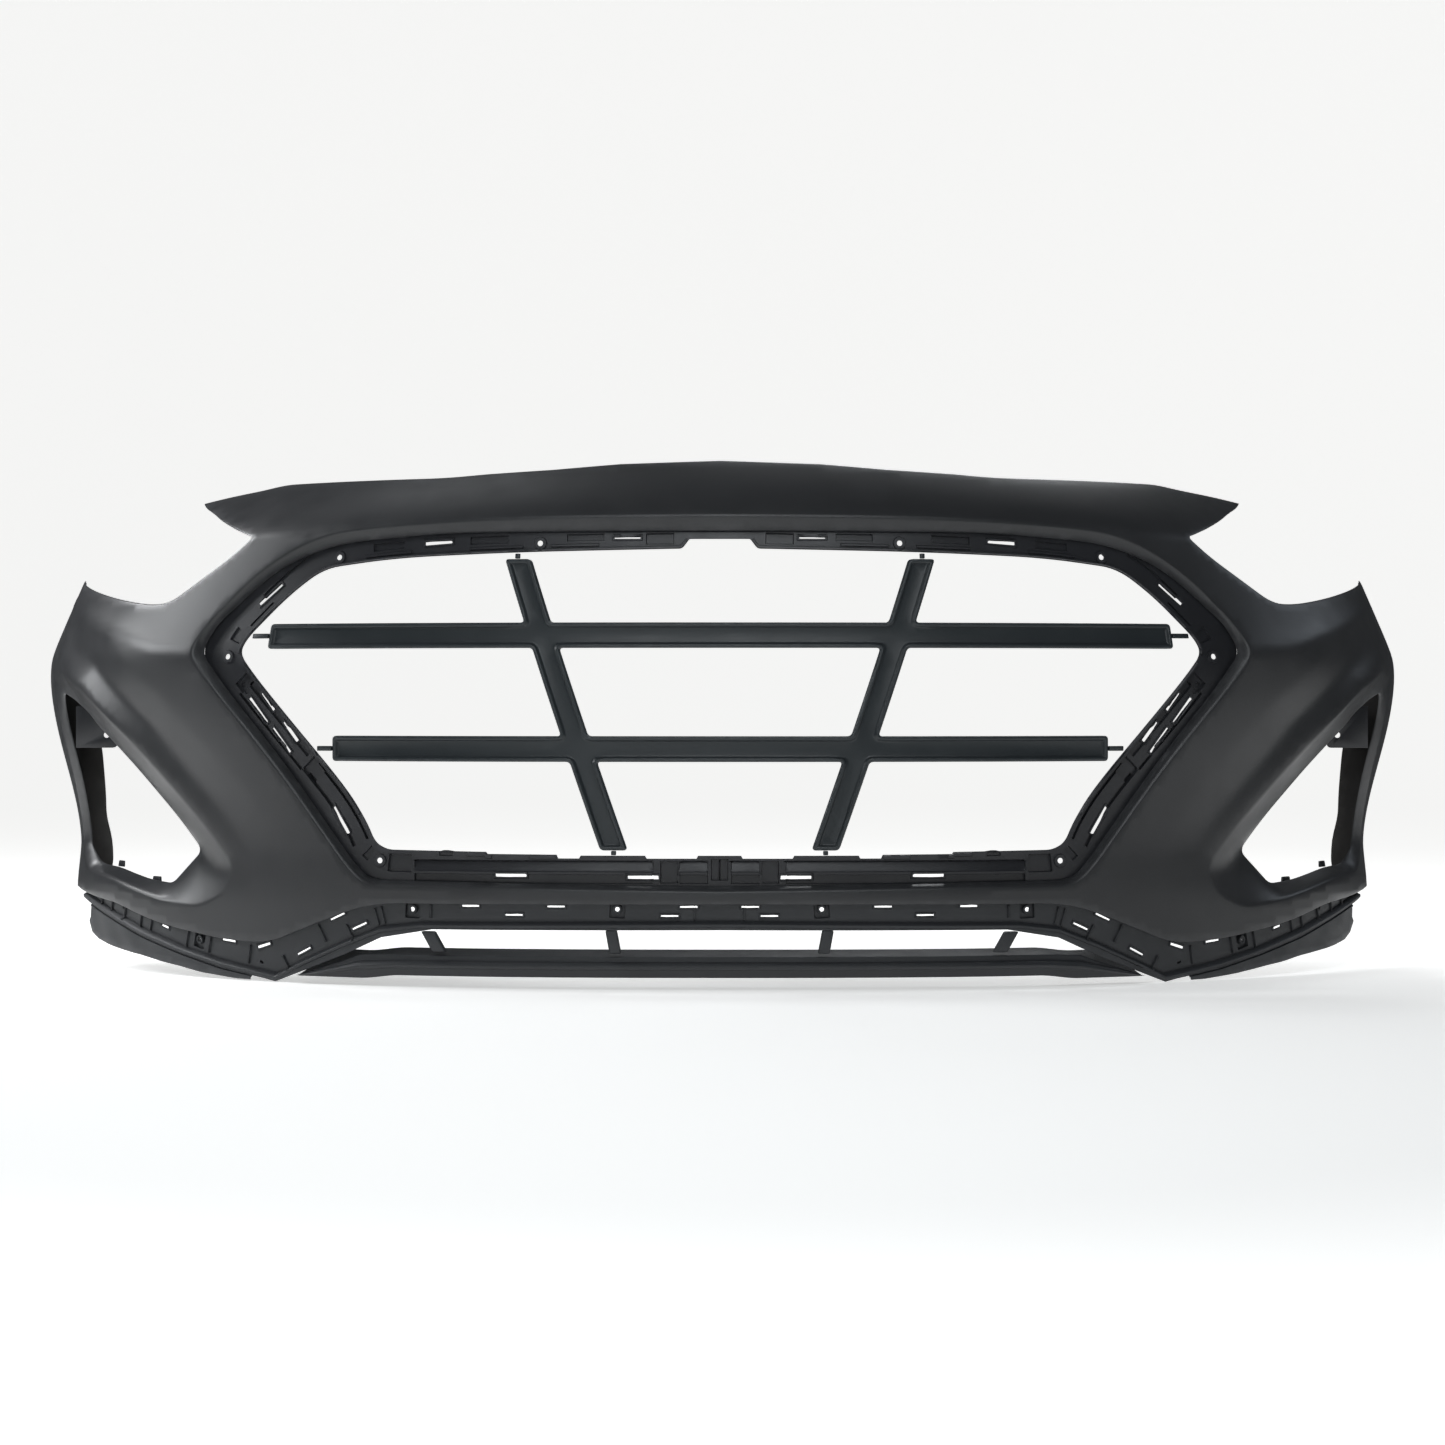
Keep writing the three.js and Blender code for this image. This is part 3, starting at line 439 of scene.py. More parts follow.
def plastic(name, color, rough, grain_scale, grain_depth, speck):
    """Moulded plastic: cloudy tone, fine specks, grain in the bump, lighter worn edges."""
    m = bpy.data.materials.new(name)
    m.use_nodes = True
    tree = m.node_tree
    nodes, links = tree.nodes, tree.links
    shader = nodes["Principled BSDF"]
    coord = nodes.new("ShaderNodeTexCoord")

    def noise(scale, detail, roughness=0.5):
        node = nodes.new("ShaderNodeTexNoise")
        node.inputs["Scale"].default_value = scale
        node.inputs["Detail"].default_value = detail
        node.inputs["Roughness"].default_value = roughness
        links.new(coord.outputs["Object"], node.inputs["Vector"])
        return node.outputs["Fac"]

    def spread(value, low, high):
        node = nodes.new("ShaderNodeMapRange")
        node.inputs["From Min"].default_value = 0.3
        node.inputs["From Max"].default_value = 0.7
        node.inputs["To Min"].default_value = low
        node.inputs["To Max"].default_value = high
        links.new(value, node.inputs["Value"])
        return node.outputs["Result"]

    def mix(factor, a, b):
        node = nodes.new("ShaderNodeMix")
        node.data_type = "RGBA"
        for value, socket in ((factor, node.inputs[0]), (a, node.inputs[6]), (b, node.inputs[7])):
            if hasattr(value, "is_output"):
                links.new(value, socket)
            elif isinstance(value, tuple):
                socket.default_value = (*value, 1)
            else:
                socket.default_value = value
        return node.outputs[2]

    cloud = noise(7, 3)
    fine = noise(speck, 2, 0.6)
    dark = tuple(c * (1 - MOTTLE) for c in color)
    light = tuple(c * (1 + MOTTLE) for c in color)
    tone = mix(spread(cloud, 0, 1), dark, light)
    tone = mix(spread(fine, 0, 0.5), tone, tuple(c * SPECK_GAIN for c in color))
    wear = nodes.new("ShaderNodeAttribute")
    wear.attribute_name = "wear"
    scuff = nodes.new("ShaderNodeMath")
    scuff.operation = "MULTIPLY"
    links.new(wear.outputs["Fac"], scuff.inputs[0])
    links.new(spread(noise(60, 3), 0.0, 0.55), scuff.inputs[1])
    tone = mix(scuff.outputs[0], tone, tuple(min(1, c * WORN_GAIN + WORN_LIFT) for c in color))
    links.new(tone, shader.inputs["Base Color"])
    sheen = spread(noise(22, 4), rough - ROUGH_SPREAD, rough + ROUGH_SPREAD)
    links.new(sheen, shader.inputs["Roughness"])
    shader.inputs["IOR"].default_value = 1.48
    bump = nodes.new("ShaderNodeBump")
    bump.inputs["Strength"].default_value = 1.0
    bump.inputs["Distance"].default_value = grain_depth
    links.new(noise(grain_scale, 3, 0.55), bump.inputs["Height"])
    links.new(bump.outputs["Normal"], shader.inputs["Normal"])
    return m


PRIMER = plastic("primer_skin", (0.028, 0.029, 0.031), 0.36, 420, 0.00003, 900)
BLACK = plastic("black_moulding", (0.021, 0.022, 0.025), 0.34, 500, 0.00005, 1100)
# Black moulding made lighter and warmer for the wheel-arch flanges: painted light, so that these black
# flanges look lit.
ARCH_PAINTED_LIGHT = plastic("arch_moulding_painted_light", (0.040, 0.038, 0.036), 0.34, 500, 0.00005, 1100)
GRAINED = plastic("grained_trim", (0.026, 0.028, 0.031), 0.5, 900, 0.00016, 1200)
BRACE = plastic("brace_moulding", (0.022, 0.027, 0.030), 0.36, 600, 0.00008, 1000)

# ------------------------------------------------------------------ painted skin
CREASE = np.array([at_x(x, z)[:2] for x, z in (
    (600, 396), (654, 405), (710, 411), (758, 428), (796, 440), (828, 457), (856, 476))])
FLARE = np.array([at_x(x, z)[:2] for x, z in (
    (880, 396), (860, 384), (818, 361), (736, 288), (638, 182), (610, 140))])
ACROSS = np.arange(-20, 100.0)
ROLL = np.interp(ACROSS, [-20, 0, 5, 30, 36, 80, 100], [-9, -9, -8.6, 4.3, 4.8, 0, 0])
ROLL = np.convolve(np.pad(ROLL, 6, "edge"), np.hanning(15)[1:-1] / 7.0, "valid")
CREASE_RISE, CREASE_SPREAD = 6.5, 24
SIDE_INSET = 1.3  # keeps the finer surface inside the CAD's facets
BEAD_RISE, BEAD_PLACE, BEAD_SPREAD = 1.3, 1.7, 1.1
SHALLOW_LEDGE = 8


def sculpt(points):
    """Extra depth of the crease on the cheek and of the rolled band round the fog lamp opening."""
    p = np.abs(points * [1, 0]) + points * [0, 1]
    d = distance(p, [loop_segments(CREASE, False)])
    fade = smooth(590, 690, p[:, 0]) * (1 - smooth(1000, 1110, p[:, 0]))
    crease = -CREASE_RISE * np.exp(-(np.hypot(d, 4) - 4) / CREASE_SPREAD) * fade
    d = distance(p, [loop_segments(FLARE, False)])
    d = np.where(inside(p, LEDGE_TOP), -d, d)
    reach = np.clip((p[:, 1] - 150) / 170, 0, 1) ** 0.8
    roll = np.interp(d, ACROSS, ROLL) * reach * (1 - smooth(90, 100, d))
    across = plan(p[:, 0])[0]
    roll = roll * smooth(0, 30, p[:, 1] - 96) * (1 - smooth(825, 890, across))
    return crease + roll + SIDE_INSET * smooth(840, 900, across)


LEDGES = [on_side(LEDGE_TOP, side) for _, side in SIDES]
FEET = [on_side(LEDGE_FOOT, side) for _, side in SIDES]


def skin_depth(points):
    """Bevel round the grille opening and ledges round the fog lamp openings."""
    a = signed(points, BEVEL_TOP)
    b = -signed(points, BEVEL_FOOT)
    width = np.maximum(np.abs(a) + np.clip(b, 0, None), 4)
    depth = BEVEL_DEPTH * np.minimum(1, ramp(a, 3.0) / width)
    depth = depth - BEAD_RISE * np.exp(-((b - BEAD_PLACE) / BEAD_SPREAD) ** 2)
    for top, foot in zip(LEDGES, FEET):
        a = signed(points, top)
        b = -signed(points, foot)
        y = plan(points[:, 0])[1]
        drop = SHALLOW_LEDGE + (LEDGE_DEPTH - SHALLOW_LEDGE) * (1 - smooth(290, 360, y))
        width = np.maximum(np.abs(a) + np.clip(b, 0, None), 4)
        depth = depth + drop * np.minimum(1, ramp(a, 3.5) / width)
    return depth + sculpt(points)


crease_lines = []
for loop in (BEVEL_TOP, *LEDGES):
    for d in (-3.2, -1.2, 1.2, 3.2):
        crease_lines.append((inward(resample(loop, 6), d), True))
for _, side in SIDES:
    path = resample(FLARE, 8, False)
    n = left_normals(np.gradient(path, axis=0))
    n = n * np.sign(n[:, :1] + 1e-9)
    for d in (10, 20, 28, 33, 39):
        line = path[4:-4] + n[4:-4] * d
        crease_lines.append((on_side(line, side), False))
fascia = sheet("fascia_skin_fine", SKIN_EDGE, [BEVEL_FOOT, *FEET], PRIMER, skin_depth,
               step=9, lines=crease_lines, edge=1.4, shade=50)
finish_piece(fascia, "primer_skin", "fascia_skin")

# ------------------------------------------------------------------ raised and sunken details
def box_loop(s, z, length, width, degrees, corner=0.6):
    """Rounded rectangle on the flat pattern, turned by an angle."""
    l, h = length / 2, width / 2
    loop = ease([(-l, -h, corner), (l, -h, corner), (l, h, corner), (-l, h, corner)], True, 3)
    a = math.radians(degrees)
    turn = np.array([[math.cos(a), math.sin(a)], [-math.sin(a), math.cos(a)]])
    return loop @ turn + [s, z]


def disc_loop(s, z, radius, sides=20):
    a = np.linspace(0, 2 * np.pi, sides, endpoint=False)
    return np.stack([s + radius * np.cos(a), z + radius * np.sin(a)], -1)


def strip(path, start, end, w0, w1):
    """Loop between two offsets of a path, from the path's point nearest start to that nearest end."""
    path = resample(path, 6, False)
    i, j = (int(np.argmin(np.linalg.norm(path - np.array(q), axis=1))) for q in (start, end))
    part = path[min(i, j):max(i, j) + 1]
    n = left_normals(np.gradient(part, axis=0))
    return np.concatenate([part + n * w0, (part + n * w1)[::-1]])


def relief(features):
    """Depth change and the mesh lines of a list of (loop, rise, slope) details."""
    lines = []
    for loop, _, slope in features:
        lines.append((loop, True))
        lines.append((inward(loop, slope), True))

    def change(points):
        total = np.zeros(len(points))
        for loop, rise, slope in features:
            lo, hi = loop.min(0) - 1, loop.max(0) + 1
            near = np.all((points > lo) & (points < hi), 1)
            if near.any():
                d = signed(points[near], loop)
                total[near] -= rise * np.clip(d / slope, 0, 1)
        return total

    return lines, change


# ------------------------------------------------------------------ grille flange
def surf(x, z, depth=FLANGE_SET):
    return at_x(x, z, 0, depth)[0], z


HALF = len(GRILLE_OPENING) // 2 + 1
OPENING_PATH = GRILLE_OPENING[:HALF]
FLANGE_SLOTS = [
    (346, 540, 36, 4.5, -4), (113, 545, 33, 3.2, 0), (560, 478, 38, 4.5, -41),
    (561, 344, 27, 3.6, 51), (572, 333, 39, 4.4, 51), (531, 307, 30, 4, 51), (542, 296, 38, 4.4, 51),
    (465, 199, 38, 4.4, 58), (253, 134, 38, 4.6, 0), (92, 132, 38, 4.4, 0),
]
FLANGE_SCREWS = [(472, 523), (613, 400), (415, 150), (220, 538)]
FLANGE_BOSS, FLANGE_HOLE = 8.4, 3.4


def flange_details():
    """Right half of the flange: (start, end, inner offset, outer offset, rise) along the opening."""
    lower = [
        ((37, 538), (592, 404), 1.0, 4.2, 3.0), ((590, 395), (440, 205), 0.8, 4.6, 3.4),
        ((590, 360), (520, 262), 6.2, 14.6, -3.6), ((592, 362), (518, 262), 29, 33, -4.0),
        ((512, 262), (496, 246), 6.6, 31, -5.0), ((598, 374), (588, 361), 7, 28, -4.5),
        ((510, 252), (448, 166), 6.4, 10.0, -4.2), ((510, 252), (448, 166), 26, 31, -4.2),
        ((438, 160), (430, 150), 8, 26, -3.2), ((610, 420), (596, 432), 8, 24, -3.0),
        ((560, 462), (500, 512), 24, 29, -3.0), ((588, 440), (556, 470), 8, 11, -3.0),
    ]
    foot = [
        (404, 376, -4.5, 5, 27), (70, 52, -5.0, 3, 30), (12, 2, -5.0, 4, 30),
        (340, 322, -2.2, 1, 6), (306, 276, 1.8, 0.6, 6), (232, 196, 1.8, 0.6, 6),
    ]
    top = [
        (364, 326, 3.0, 17, 21), (205, 150, 2.2, 5, 9), (305, 240, 2.2, 5, 9), (440, 380, 2.2, 5, 9),
        (90, 56, -4.0, 6, 20), (190, 140, -3.6, 12, 21), (308, 262, -3.6, 12, 22),
        (430, 392, -3.2, 12, 22), (132, 96, 2.4, 15, 18),
    ]
    out = []
    for start, end, w0, w1, rise in lower:
        out.append((strip(OPENING_PATH, surf(*start), surf(*end), w0, w1), rise))
    for x0, x1, rise, w0, w1 in foot:
        out.append((strip(OPENING_PATH, surf(x0, 160), surf(x1, 160), w0, w1), rise))
    for x0, x1, rise, w0, w1 in top:
        out.append((strip(OPENING_PATH, surf(x0, 527), surf(x1, 527), w0, w1), rise))
    for x, z, length, width, degrees in FLANGE_SLOTS:
        out.append((box_loop(*surf(x, z), length + 6, width + 5, degrees), 1.8))
    for x, z in FLANGE_SCREWS:
        out.append((disc_loop(*surf(x, z), FLANGE_BOSS), 2.2))
    for x, z in ((595, 365), (588, 357)):
        out.append((disc_loop(*surf(x, z), 3.6, 12), -2.0))
    return out


details = [(on_side(loop, side), rise, 0.9) for loop, rise in flange_details() for _, side in SIDES]
flange_lines, flange_change = relief(details)
# the bottom stretch: a lit ledge that leans back, a rib, and a recess for the slots
FOOT_STEPS = ([120, 124, 124.9, 134.4, 135.3, 138, 139, 151, 152.2, 170],
              [0, 0, 4.2, 4.2, -1.8, -1.8, -0.6, 4.6, 0.6, 0])
FOOT_REACH = surf(372, 140)[0]
FOOT_SPANS = [(surf(80, 140)[0], FOOT_REACH), (surf(14, 140)[0], surf(49, 140)[0])]
for z in FOOT_STEPS[0][1:-1]:
    flange_lines.append((np.array([(s, z) for s in np.arange(-FOOT_REACH - 2, FOOT_REACH + 3, 12)]),
                         False))
for low, high in FOOT_SPANS:
    for _, side in SIDES:
        for s in (low, low + 0.8, high - 0.8, high):
            flange_lines.append((np.array([(side * s, z) for z in np.arange(123, 153, 3.0)]), False))


def flange_depth(points):
    s = np.abs(points[:, 0])
    span = sum(smooth(low, low + 0.8, s) * (1 - smooth(high - 0.8, high, s))
               for low, high in FOOT_SPANS)
    step = np.interp(points[:, 1], *FOOT_STEPS) * span
    return FLANGE_SET + 0.4 + step + flange_change(points)


flange_holes = []
for _, side in SIDES:
    for x, z, length, width, degrees in FLANGE_SLOTS:
        flange_holes.append(on_side(box_loop(*surf(x, z), length, width, degrees, 1.2), side))
    for x, z in FLANGE_SCREWS:
        flange_holes.append(on_side(disc_loop(*surf(x, z), FLANGE_HOLE), side))
FLANGE_RIM = inward(resample(BEVEL_FOOT, 10), -7)
flange = sheet("grille_flange_fine", FLANGE_RIM, [GRILLE_OPENING, *flange_holes], BLACK,
               flange_depth, step=10, lines=flange_lines, wall=THIN_WALL, edge=0.6, shade=30)
finish_piece(flange, "black_moulding", "grille_flange_top", "grille_flange_bottom",
             "grille_flange_right", "grille_flange_left")

# ------------------------------------------------------------------ transport brace
LEVELS = {"upper": 425, "lower": 286.5, "top": 519, "foot": 164}
ENDS = {"upper": 587, "lower": 491}


def lattice(edge):
    """Outline and centre window of the brace, shrunk by edge."""
    half = BRACE_HALF - edge
    lean = half * math.hypot(1, BRACE_TILT)
    upper, lower, top, foot = (LEVELS[k] for k in ("upper", "lower", "top", "foot"))
    tip, nook = max(1.5, 5 - edge), 5 + edge * 0.5

    def outer(z, r, away=lean):
        return BRACE_FOOT + BRACE_TILT * (z - foot) + away, z, r

    def inner(z, r):
        return outer(z, r, -lean)

    outline = mirrored(ease([
        (0, upper + half, 0), inner(upper + half, nook), inner(top - edge, tip),
        outer(top - edge, tip), outer(upper + half, nook), (ENDS["upper"] - edge, upper + half, tip),
        (ENDS["upper"] - edge, upper - half, tip), outer(upper - half, nook),
        outer(lower + half, nook), (ENDS["lower"] - edge, lower + half, tip),
        (ENDS["lower"] - edge, lower - half, tip), outer(lower - half, nook),
        outer(foot + edge, tip), inner(foot + edge, tip), inner(lower - half, nook),
        (0, lower - half, 0),
    ], False, 5))
    window = mirrored(ease([
        (0, upper - half, 0), inner(upper - half, nook), inner(lower + half, nook),
        (0, lower + half, 0),
    ], False, 5))
    return outline, window


brace_outline, brace_window = lattice(0)
BRACE_PROFILE = ([0, 0.5, 1.4, 2.6, 4.0, 5.0, 6.4, 8.0], [2.0, 1.0, 0.25, 0, 0.15, 0.9, 3.6, 4.0])


def brace_depth(points):
    d = distance(points, [loop_segments(brace_outline), loop_segments(brace_window)])
    return BRACE_SET + np.interp(d, *BRACE_PROFILE)


brace_lines = [(loop, True) for e in BRACE_PROFILE[0][1:] for loop in lattice(e)]
brace = sheet("transport_brace_fine", brace_outline, [brace_window], BRACE, brace_depth, step=14,
              lines=brace_lines, back=BRACE_SET + BRACE_THICK, edge=0.4, shade=48)
finish_piece(brace, "brace_moulding", "transport_brace")

# ------------------------------------------------------------------ trim channel
POINT = 551.0
CHANNEL_TOP = np.array([
    (0, 105), (405, 104), (442, 98), (489, 80), (549, 55), (573, 51), (624, 53), (718, 69),
    (781, 89), (819, 94), (846, 99.5)])
CHANNEL_FLOOR = np.array([
    (0, 80), (363, 77), (413, 71), (463, 51), (521, 24), (551, 8), (567, 11), (624, 21),
    (683, 35.5), (743, 54), (810, 79), (846, 93)])
CHANNEL_RIM = np.array([
    (0, 69), (349, 68), (413, 57), (461, 34.5), (551, -2), (567, 1.5), (624, 11), (683, 26),
    (743, 44), (810, 70), (846, 84)])
CHANNEL_SLOTS = [
    (301, 97, 21, 3.4, 0), (197, 97, 21, 3.2, 0), (37, 97, 21, 3.2, 0), (248, 86.5, 21, 3, 0),
    (60, 86, 21, 3, 0), (468, 81, 21, 3.2, -24), (440, 70, 21, 3.2, -24), (512, 37, 21, 3.2, -26),
    (565, 42, 20, 4, -16), (613, 46, 22, 3.6, 6), (705, 58.5, 15, 3.4, 12),
]
CHANNEL_SCREWS = [(373, 92), (123, 94), (655, 45)]
CHANNEL_BOSS, CHANNEL_HOLE = 5.8, 3.2


def height_at(line, x):
    return np.interp(x, line[:, 0], line[:, 1])


def stretch(line, drop=0.0, x0=0.0, x1=846.0, every=16):
    """Flat pattern of one of the channel's lines, lowered by drop."""
    knots = [x for x in line[:, 0] if x0 < x < x1]
    xs = np.unique(np.concatenate([np.arange(x0, x1, every), knots, [x1]]))
    return np.array([(at_x(x, height_at(line, x) - drop)[0], height_at(line, x) - drop) for x in xs])


def both_halves(line):
    return np.concatenate([flip(line)[:-1], line])


channel_top = both_halves(stretch(CHANNEL_TOP))
channel_low = both_halves(stretch(CHANNEL_RIM))
channel_floor = both_halves(stretch(CHANNEL_FLOOR))
channel_outline = np.concatenate([channel_low, channel_top[::-1]])
CHANNEL_PROFILE = ([-60, -3, 0, 3.4, 4.2, 7.0, 8.0, 60], [7, 7.4, 8.4, 1.6, 1.0, 1.1, 2.6, 2.6])


def channel_surf(x, z):
    return at_x(x, z, 0, CHANNEL_SET)[0], z


def channel_details():
    """Right half of the channel: loops with their rise."""
    out = []
    for x, z in CHANNEL_SCREWS:
        out.append((box_loop(*channel_surf(x, z - 1), 19, 20, 3 if x < 500 else 14, 2), -4.5))
        out.append((disc_loop(*channel_surf(x, z), CHANNEL_BOSS), 5.5))
    for x, z, length, width, degrees in CHANNEL_SLOTS:
        out.append((box_loop(*channel_surf(x, z), length + 5, width + 4, degrees, 1.5), 1.8))
    ribs = [(30, 91, 20, 88), (350, 90, 16, 92), (410, 84, 22, 76), (418, 82, 22, 74),
            (452, 62, 22, 62), (488, 60, 24, 62), (536, 22, 20, 62), (585, 30, 24, 100),
            (640, 40, 24, 104), (672, 46, 24, 104), (726, 62, 22, 106), (742, 66, 22, 106),
            (768, 72, 20, 108), (790, 80, 16, 108), (808, 86, 14, 108)]
    for x, z, length, degrees in ribs:
        out.append((box_loop(*channel_surf(x, z), length, 2.6, degrees), 2.6))
    notches = [(569, 21, 6, 3, 20), (676, 58, 8, 3, 16), (744, 76, 9, 3, 20), (772, 80, 9, 4, 70),
               (788, 86, 12, 3, 24), (812, 88, 6, 4, 60), (826, 92, 10, 3.5, 30)]
    for x, z, length, width, degrees in notches:
        out.append((box_loop(*channel_surf(x, z), length, width, degrees), -3.5))
    return out


details = [(on_side(loop, side), rise, 0.8) for loop, rise in channel_details() for _, side in SIDES]
channel_lines, channel_change = relief(details)
for d in (-3, 0, 1.7, 3.4, 4.2, 7.0, 8.0):
    channel_lines.append((channel_floor - [0, d], False))
channel_holes = []
for _, side in SIDES:
    for x, z, length, width, degrees in CHANNEL_SLOTS:
        channel_holes.append(on_side(box_loop(*channel_surf(x, z), length, width, degrees, 1.2), side))
    for x, z in CHANNEL_SCREWS:
        channel_holes.append(on_side(disc_loop(*channel_surf(x, z), CHANNEL_HOLE), side))


def channel_depth(points):
    x = np.interp(points[:, 0], channel_floor[:, 0], channel_floor[:, 1])
    return np.interp(x - points[:, 1], *CHANNEL_PROFILE) + channel_change(points)


channel = sheet("trim_channel_fine", channel_outline, channel_holes, GRAINED, channel_depth, step=9,
                lines=channel_lines, wall=THIN_WALL, edge=0.5, shade=32)
finish_piece(channel, "grained_trim", "trim_channel_middle", "trim_channel_right",
             "trim_channel_left")


# ------------------------------------------------------------------ lower lip and struts
def rail(name, section, low, high, steps, material):
    """Body swept along the skin; section(s) gives its closed outline as (depth, z) corners."""
    stations = np.linspace(low, high, steps + 1)
    rings = []
    for s in stations:
        ring = section(s)
        rings.append(skin(np.full(len(ring), s), ring[:, 1], ring[:, 0]))
    n = len(rings[0])
    verts = np.concatenate(rings)
    faces = [(i * n + k, i * n + (k + 1) % n, (i + 1) * n + (k + 1) % n, (i + 1) * n + k)
             for i in range(steps) for k in range(n)]
    faces.append(tuple(range(n))[::-1])
    faces.append(tuple(steps * n + k for k in range(n)))
    return build(name, row(verts), faces, material, 40, {"wear": np.zeros(len(verts))})


LIP_TOP, LIP_FOOT = 43.0, 11.0
LIP_SECTION = ease([
    (38, LIP_TOP, 1), (5.5, 36.3, 1.6), (5, 30.5, 1.2), (-1.5, 28.4, 1.4), (-5, 25, 1.2),
    (-4.2, 22.4, 0.9), (1, 20.2, 1), (2.6, LIP_FOOT, 1.6), (28, LIP_FOOT, 0.8), (28, 14, 0.8),
    (5.4, 14, 1.2), (4, 22.2, 1), (-0.8, 24.4, 0.6), (0.8, 25.9, 0.8), (8, 27.8, 1),
    (8, 33.6, 1), (38, 40, 1),
], True, 3)
LIP_END = at_x(520, 30)[0]


def lip_section(s):
    """The lip's section at s, squashed where the channel comes down towards the ends."""
    x = abs(float(skin(s, 30)[0]))
    top = min(LIP_TOP, float(height_at(CHANNEL_RIM, x)) - 1.2)
    foot = LIP_FOOT - 4.5 * float(smooth(390, 440, x))
    squash = (top - foot) / (LIP_TOP - LIP_FOOT)
    heel = 6.5 * min(1, (1 - squash) * 5) * smooth(14, 36, LIP_SECTION[:, 0])
    heel = heel * (LIP_SECTION[:, 1] > 35)
    return np.stack([LIP_SECTION[:, 0], foot + (LIP_SECTION[:, 1] - LIP_FOOT) * squash + heel], -1)


lip = rail("lower_lip_fine", lip_section, -LIP_END, LIP_END, 190, GRAINED)
finish_piece(lip, "grained_trim", "lower_lip")

# ------------------------------------------------------------------ side lips
SIDE_LIP_FOOT = [
    (584, -1), (604, -0.6), (624, 1.5), (650, 4.2), (683, 10), (712, 14.4), (743, 20.5), (770, 24),
    (798, 29), (814, 34), (826, 42), (832, 56), (829, 62),
]
SIDE_LIP_TOP = stretch(CHANNEL_RIM, GAP, 584, 829)


def side_lip_depth(points):
    """Set 1 mm back, with a tongue along the top that steps behind the channel's rim."""
    above = points[:, 1] - np.interp(np.abs(points[:, 0]), SIDE_LIP_TOP[:, 0], SIDE_LIP_TOP[:, 1])
    wave = 0.5 * np.sin(points[:, 0] / 21) + 0.4 * np.sin(points[:, 0] / 9 + points[:, 1] / 14)
    return 1.0 + wave * smooth(0, 12, -above) + 4.2 * smooth(-0.8, 0.4, above)


for label, side in SIDES:
    tongue = stretch(CHANNEL_RIM, GAP - 5.5, 584, 829)
    foot = np.array([(at_x(x, z)[0], z) for x, z in SIDE_LIP_FOOT])[::-1]
    foot = resample(np.concatenate([tongue[-1:], foot, tongue[:1]]), 7, False)[1:-1]
    outline = on_side(np.concatenate([tongue, foot]), side)
    joint = [(on_side(SIDE_LIP_TOP + [0, d], side), False) for d in (-0.8, 0.4)]
    piece = sheet("side_lip_fine_" + label, outline, [], GRAINED, side_lip_depth, step=8,
                  lines=joint, edge=1.0, shade=40)
    finish_piece(piece, "grained_trim", "side_lip_" + label)


# ------------------------------------------------------------------ wheel arch flanges
def arch_place(side):
    def place(u, v, depth):
        radius = ARCH_RADIUS + 2 + depth
        a = np.asarray(u) / ARCH_RADIUS
        y = ARCH_Y - radius * np.cos(a)
        z = ARCH_Z + radius * np.sin(a)
        s = np.array([at_y(q, r, 0, WALL + GAP)[0] for q, r in zip(y, z)])
        x = skin(s, z, WALL + GAP + 0.4)[:, 0]
        return np.stack([side * (x - v), y, z], -1)

    return place


ARCH_FLANGE = ease([
    (-20, 0, 0), (-20, 40, 4), (0, 42, 8), (61, 34, 12), (157, 52, 20), (240, 52, 20),
    (330, 36, 20), (420, 16, 4), (420, 0, 0),
], True, 4)
arch_marks = [(box_loop(115, 26, 24, 5, 4), -1.2, 0.8), (box_loop(60, 20, 26, 5, -4), -1.2, 0.8),
              (box_loop(200, 30, 30, 5, 0), -1.2, 0.8), (box_loop(285, 24, 26, 5, -6), -1.2, 0.8)]
arch_lines, arch_change = relief(arch_marks)
for label, side in SIDES:
    # the black flanges take the lighter copy of their moulding, which is painted light
    piece = sheet("wheel_arch_flange_fine_" + label, ARCH_FLANGE, [], ARCH_PAINTED_LIGHT, arch_change, step=12,
                  lines=arch_lines, place=arch_place(side), back=WALL, edge=0.8, shade=35)
    finish_piece(piece, "black_moulding", "wheel_arch_flange_" + label)


# ------------------------------------------------------------------ small pieces
def refined(node_name, material, slot_name, width, segments):
    """A copy of a small CAD solid with its flat faces merged and its sharp edges rolled."""
    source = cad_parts[node_name]
    mesh = source.data.copy()
    mesh.name = node_name + "_fine"
    obj = bpy.data.objects.new(node_name + "_fine", mesh)
    bpy.context.scene.collection.objects.link(obj)
    mesh.materials.clear()
    mesh.materials.append(material)
    work = bmesh.new()
    work.from_mesh(mesh)
    bmesh.ops.remove_doubles(work, verts=work.verts, dist=1e-6)
    bmesh.ops.dissolve_limit(work, angle_limit=math.radians(3), verts=work.verts, edges=work.edges)
    sharp = [e for e in work.edges if len(e.link_faces) == 2 and e.calc_face_angle() > 0.5]
    bmesh.ops.bevel(work, geom=sharp, offset=width, segments=segments, profile=0.5, affect="EDGES",
                    clamp_overlap=True)
    work.to_mesh(mesh)
    work.free()
    mesh.polygons.foreach_set("use_smooth", [True] * len(mesh.polygons))
    mesh.set_sharp_from_angle(angle=math.radians(40))
    layer = mesh.attributes.new("wear", "FLOAT", "POINT")
    layer.data.foreach_set("value", np.full(len(mesh.vertices), 0.25, np.float32))
    return finish_piece(obj, slot_name, node_name)


# start of the node's name, material, slot, bevel width in metres, bevel segments
SMALL_PIECES = [
    ("brace_tie", BRACE, "brace_moulding", 0.0009, 3),
    ("intake_strut", GRAINED, "grained_trim", 0.0018, 3),
    ("fog_clip", BLACK, "black_moulding", 0.0009, 3),
    ("fog_lamp_bracket", BLACK, "black_moulding", 0.0008, 2),
]
for name in sorted(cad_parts):
    for start, *look in SMALL_PIECES:
        if name.startswith(start):
            refined(name, *look)

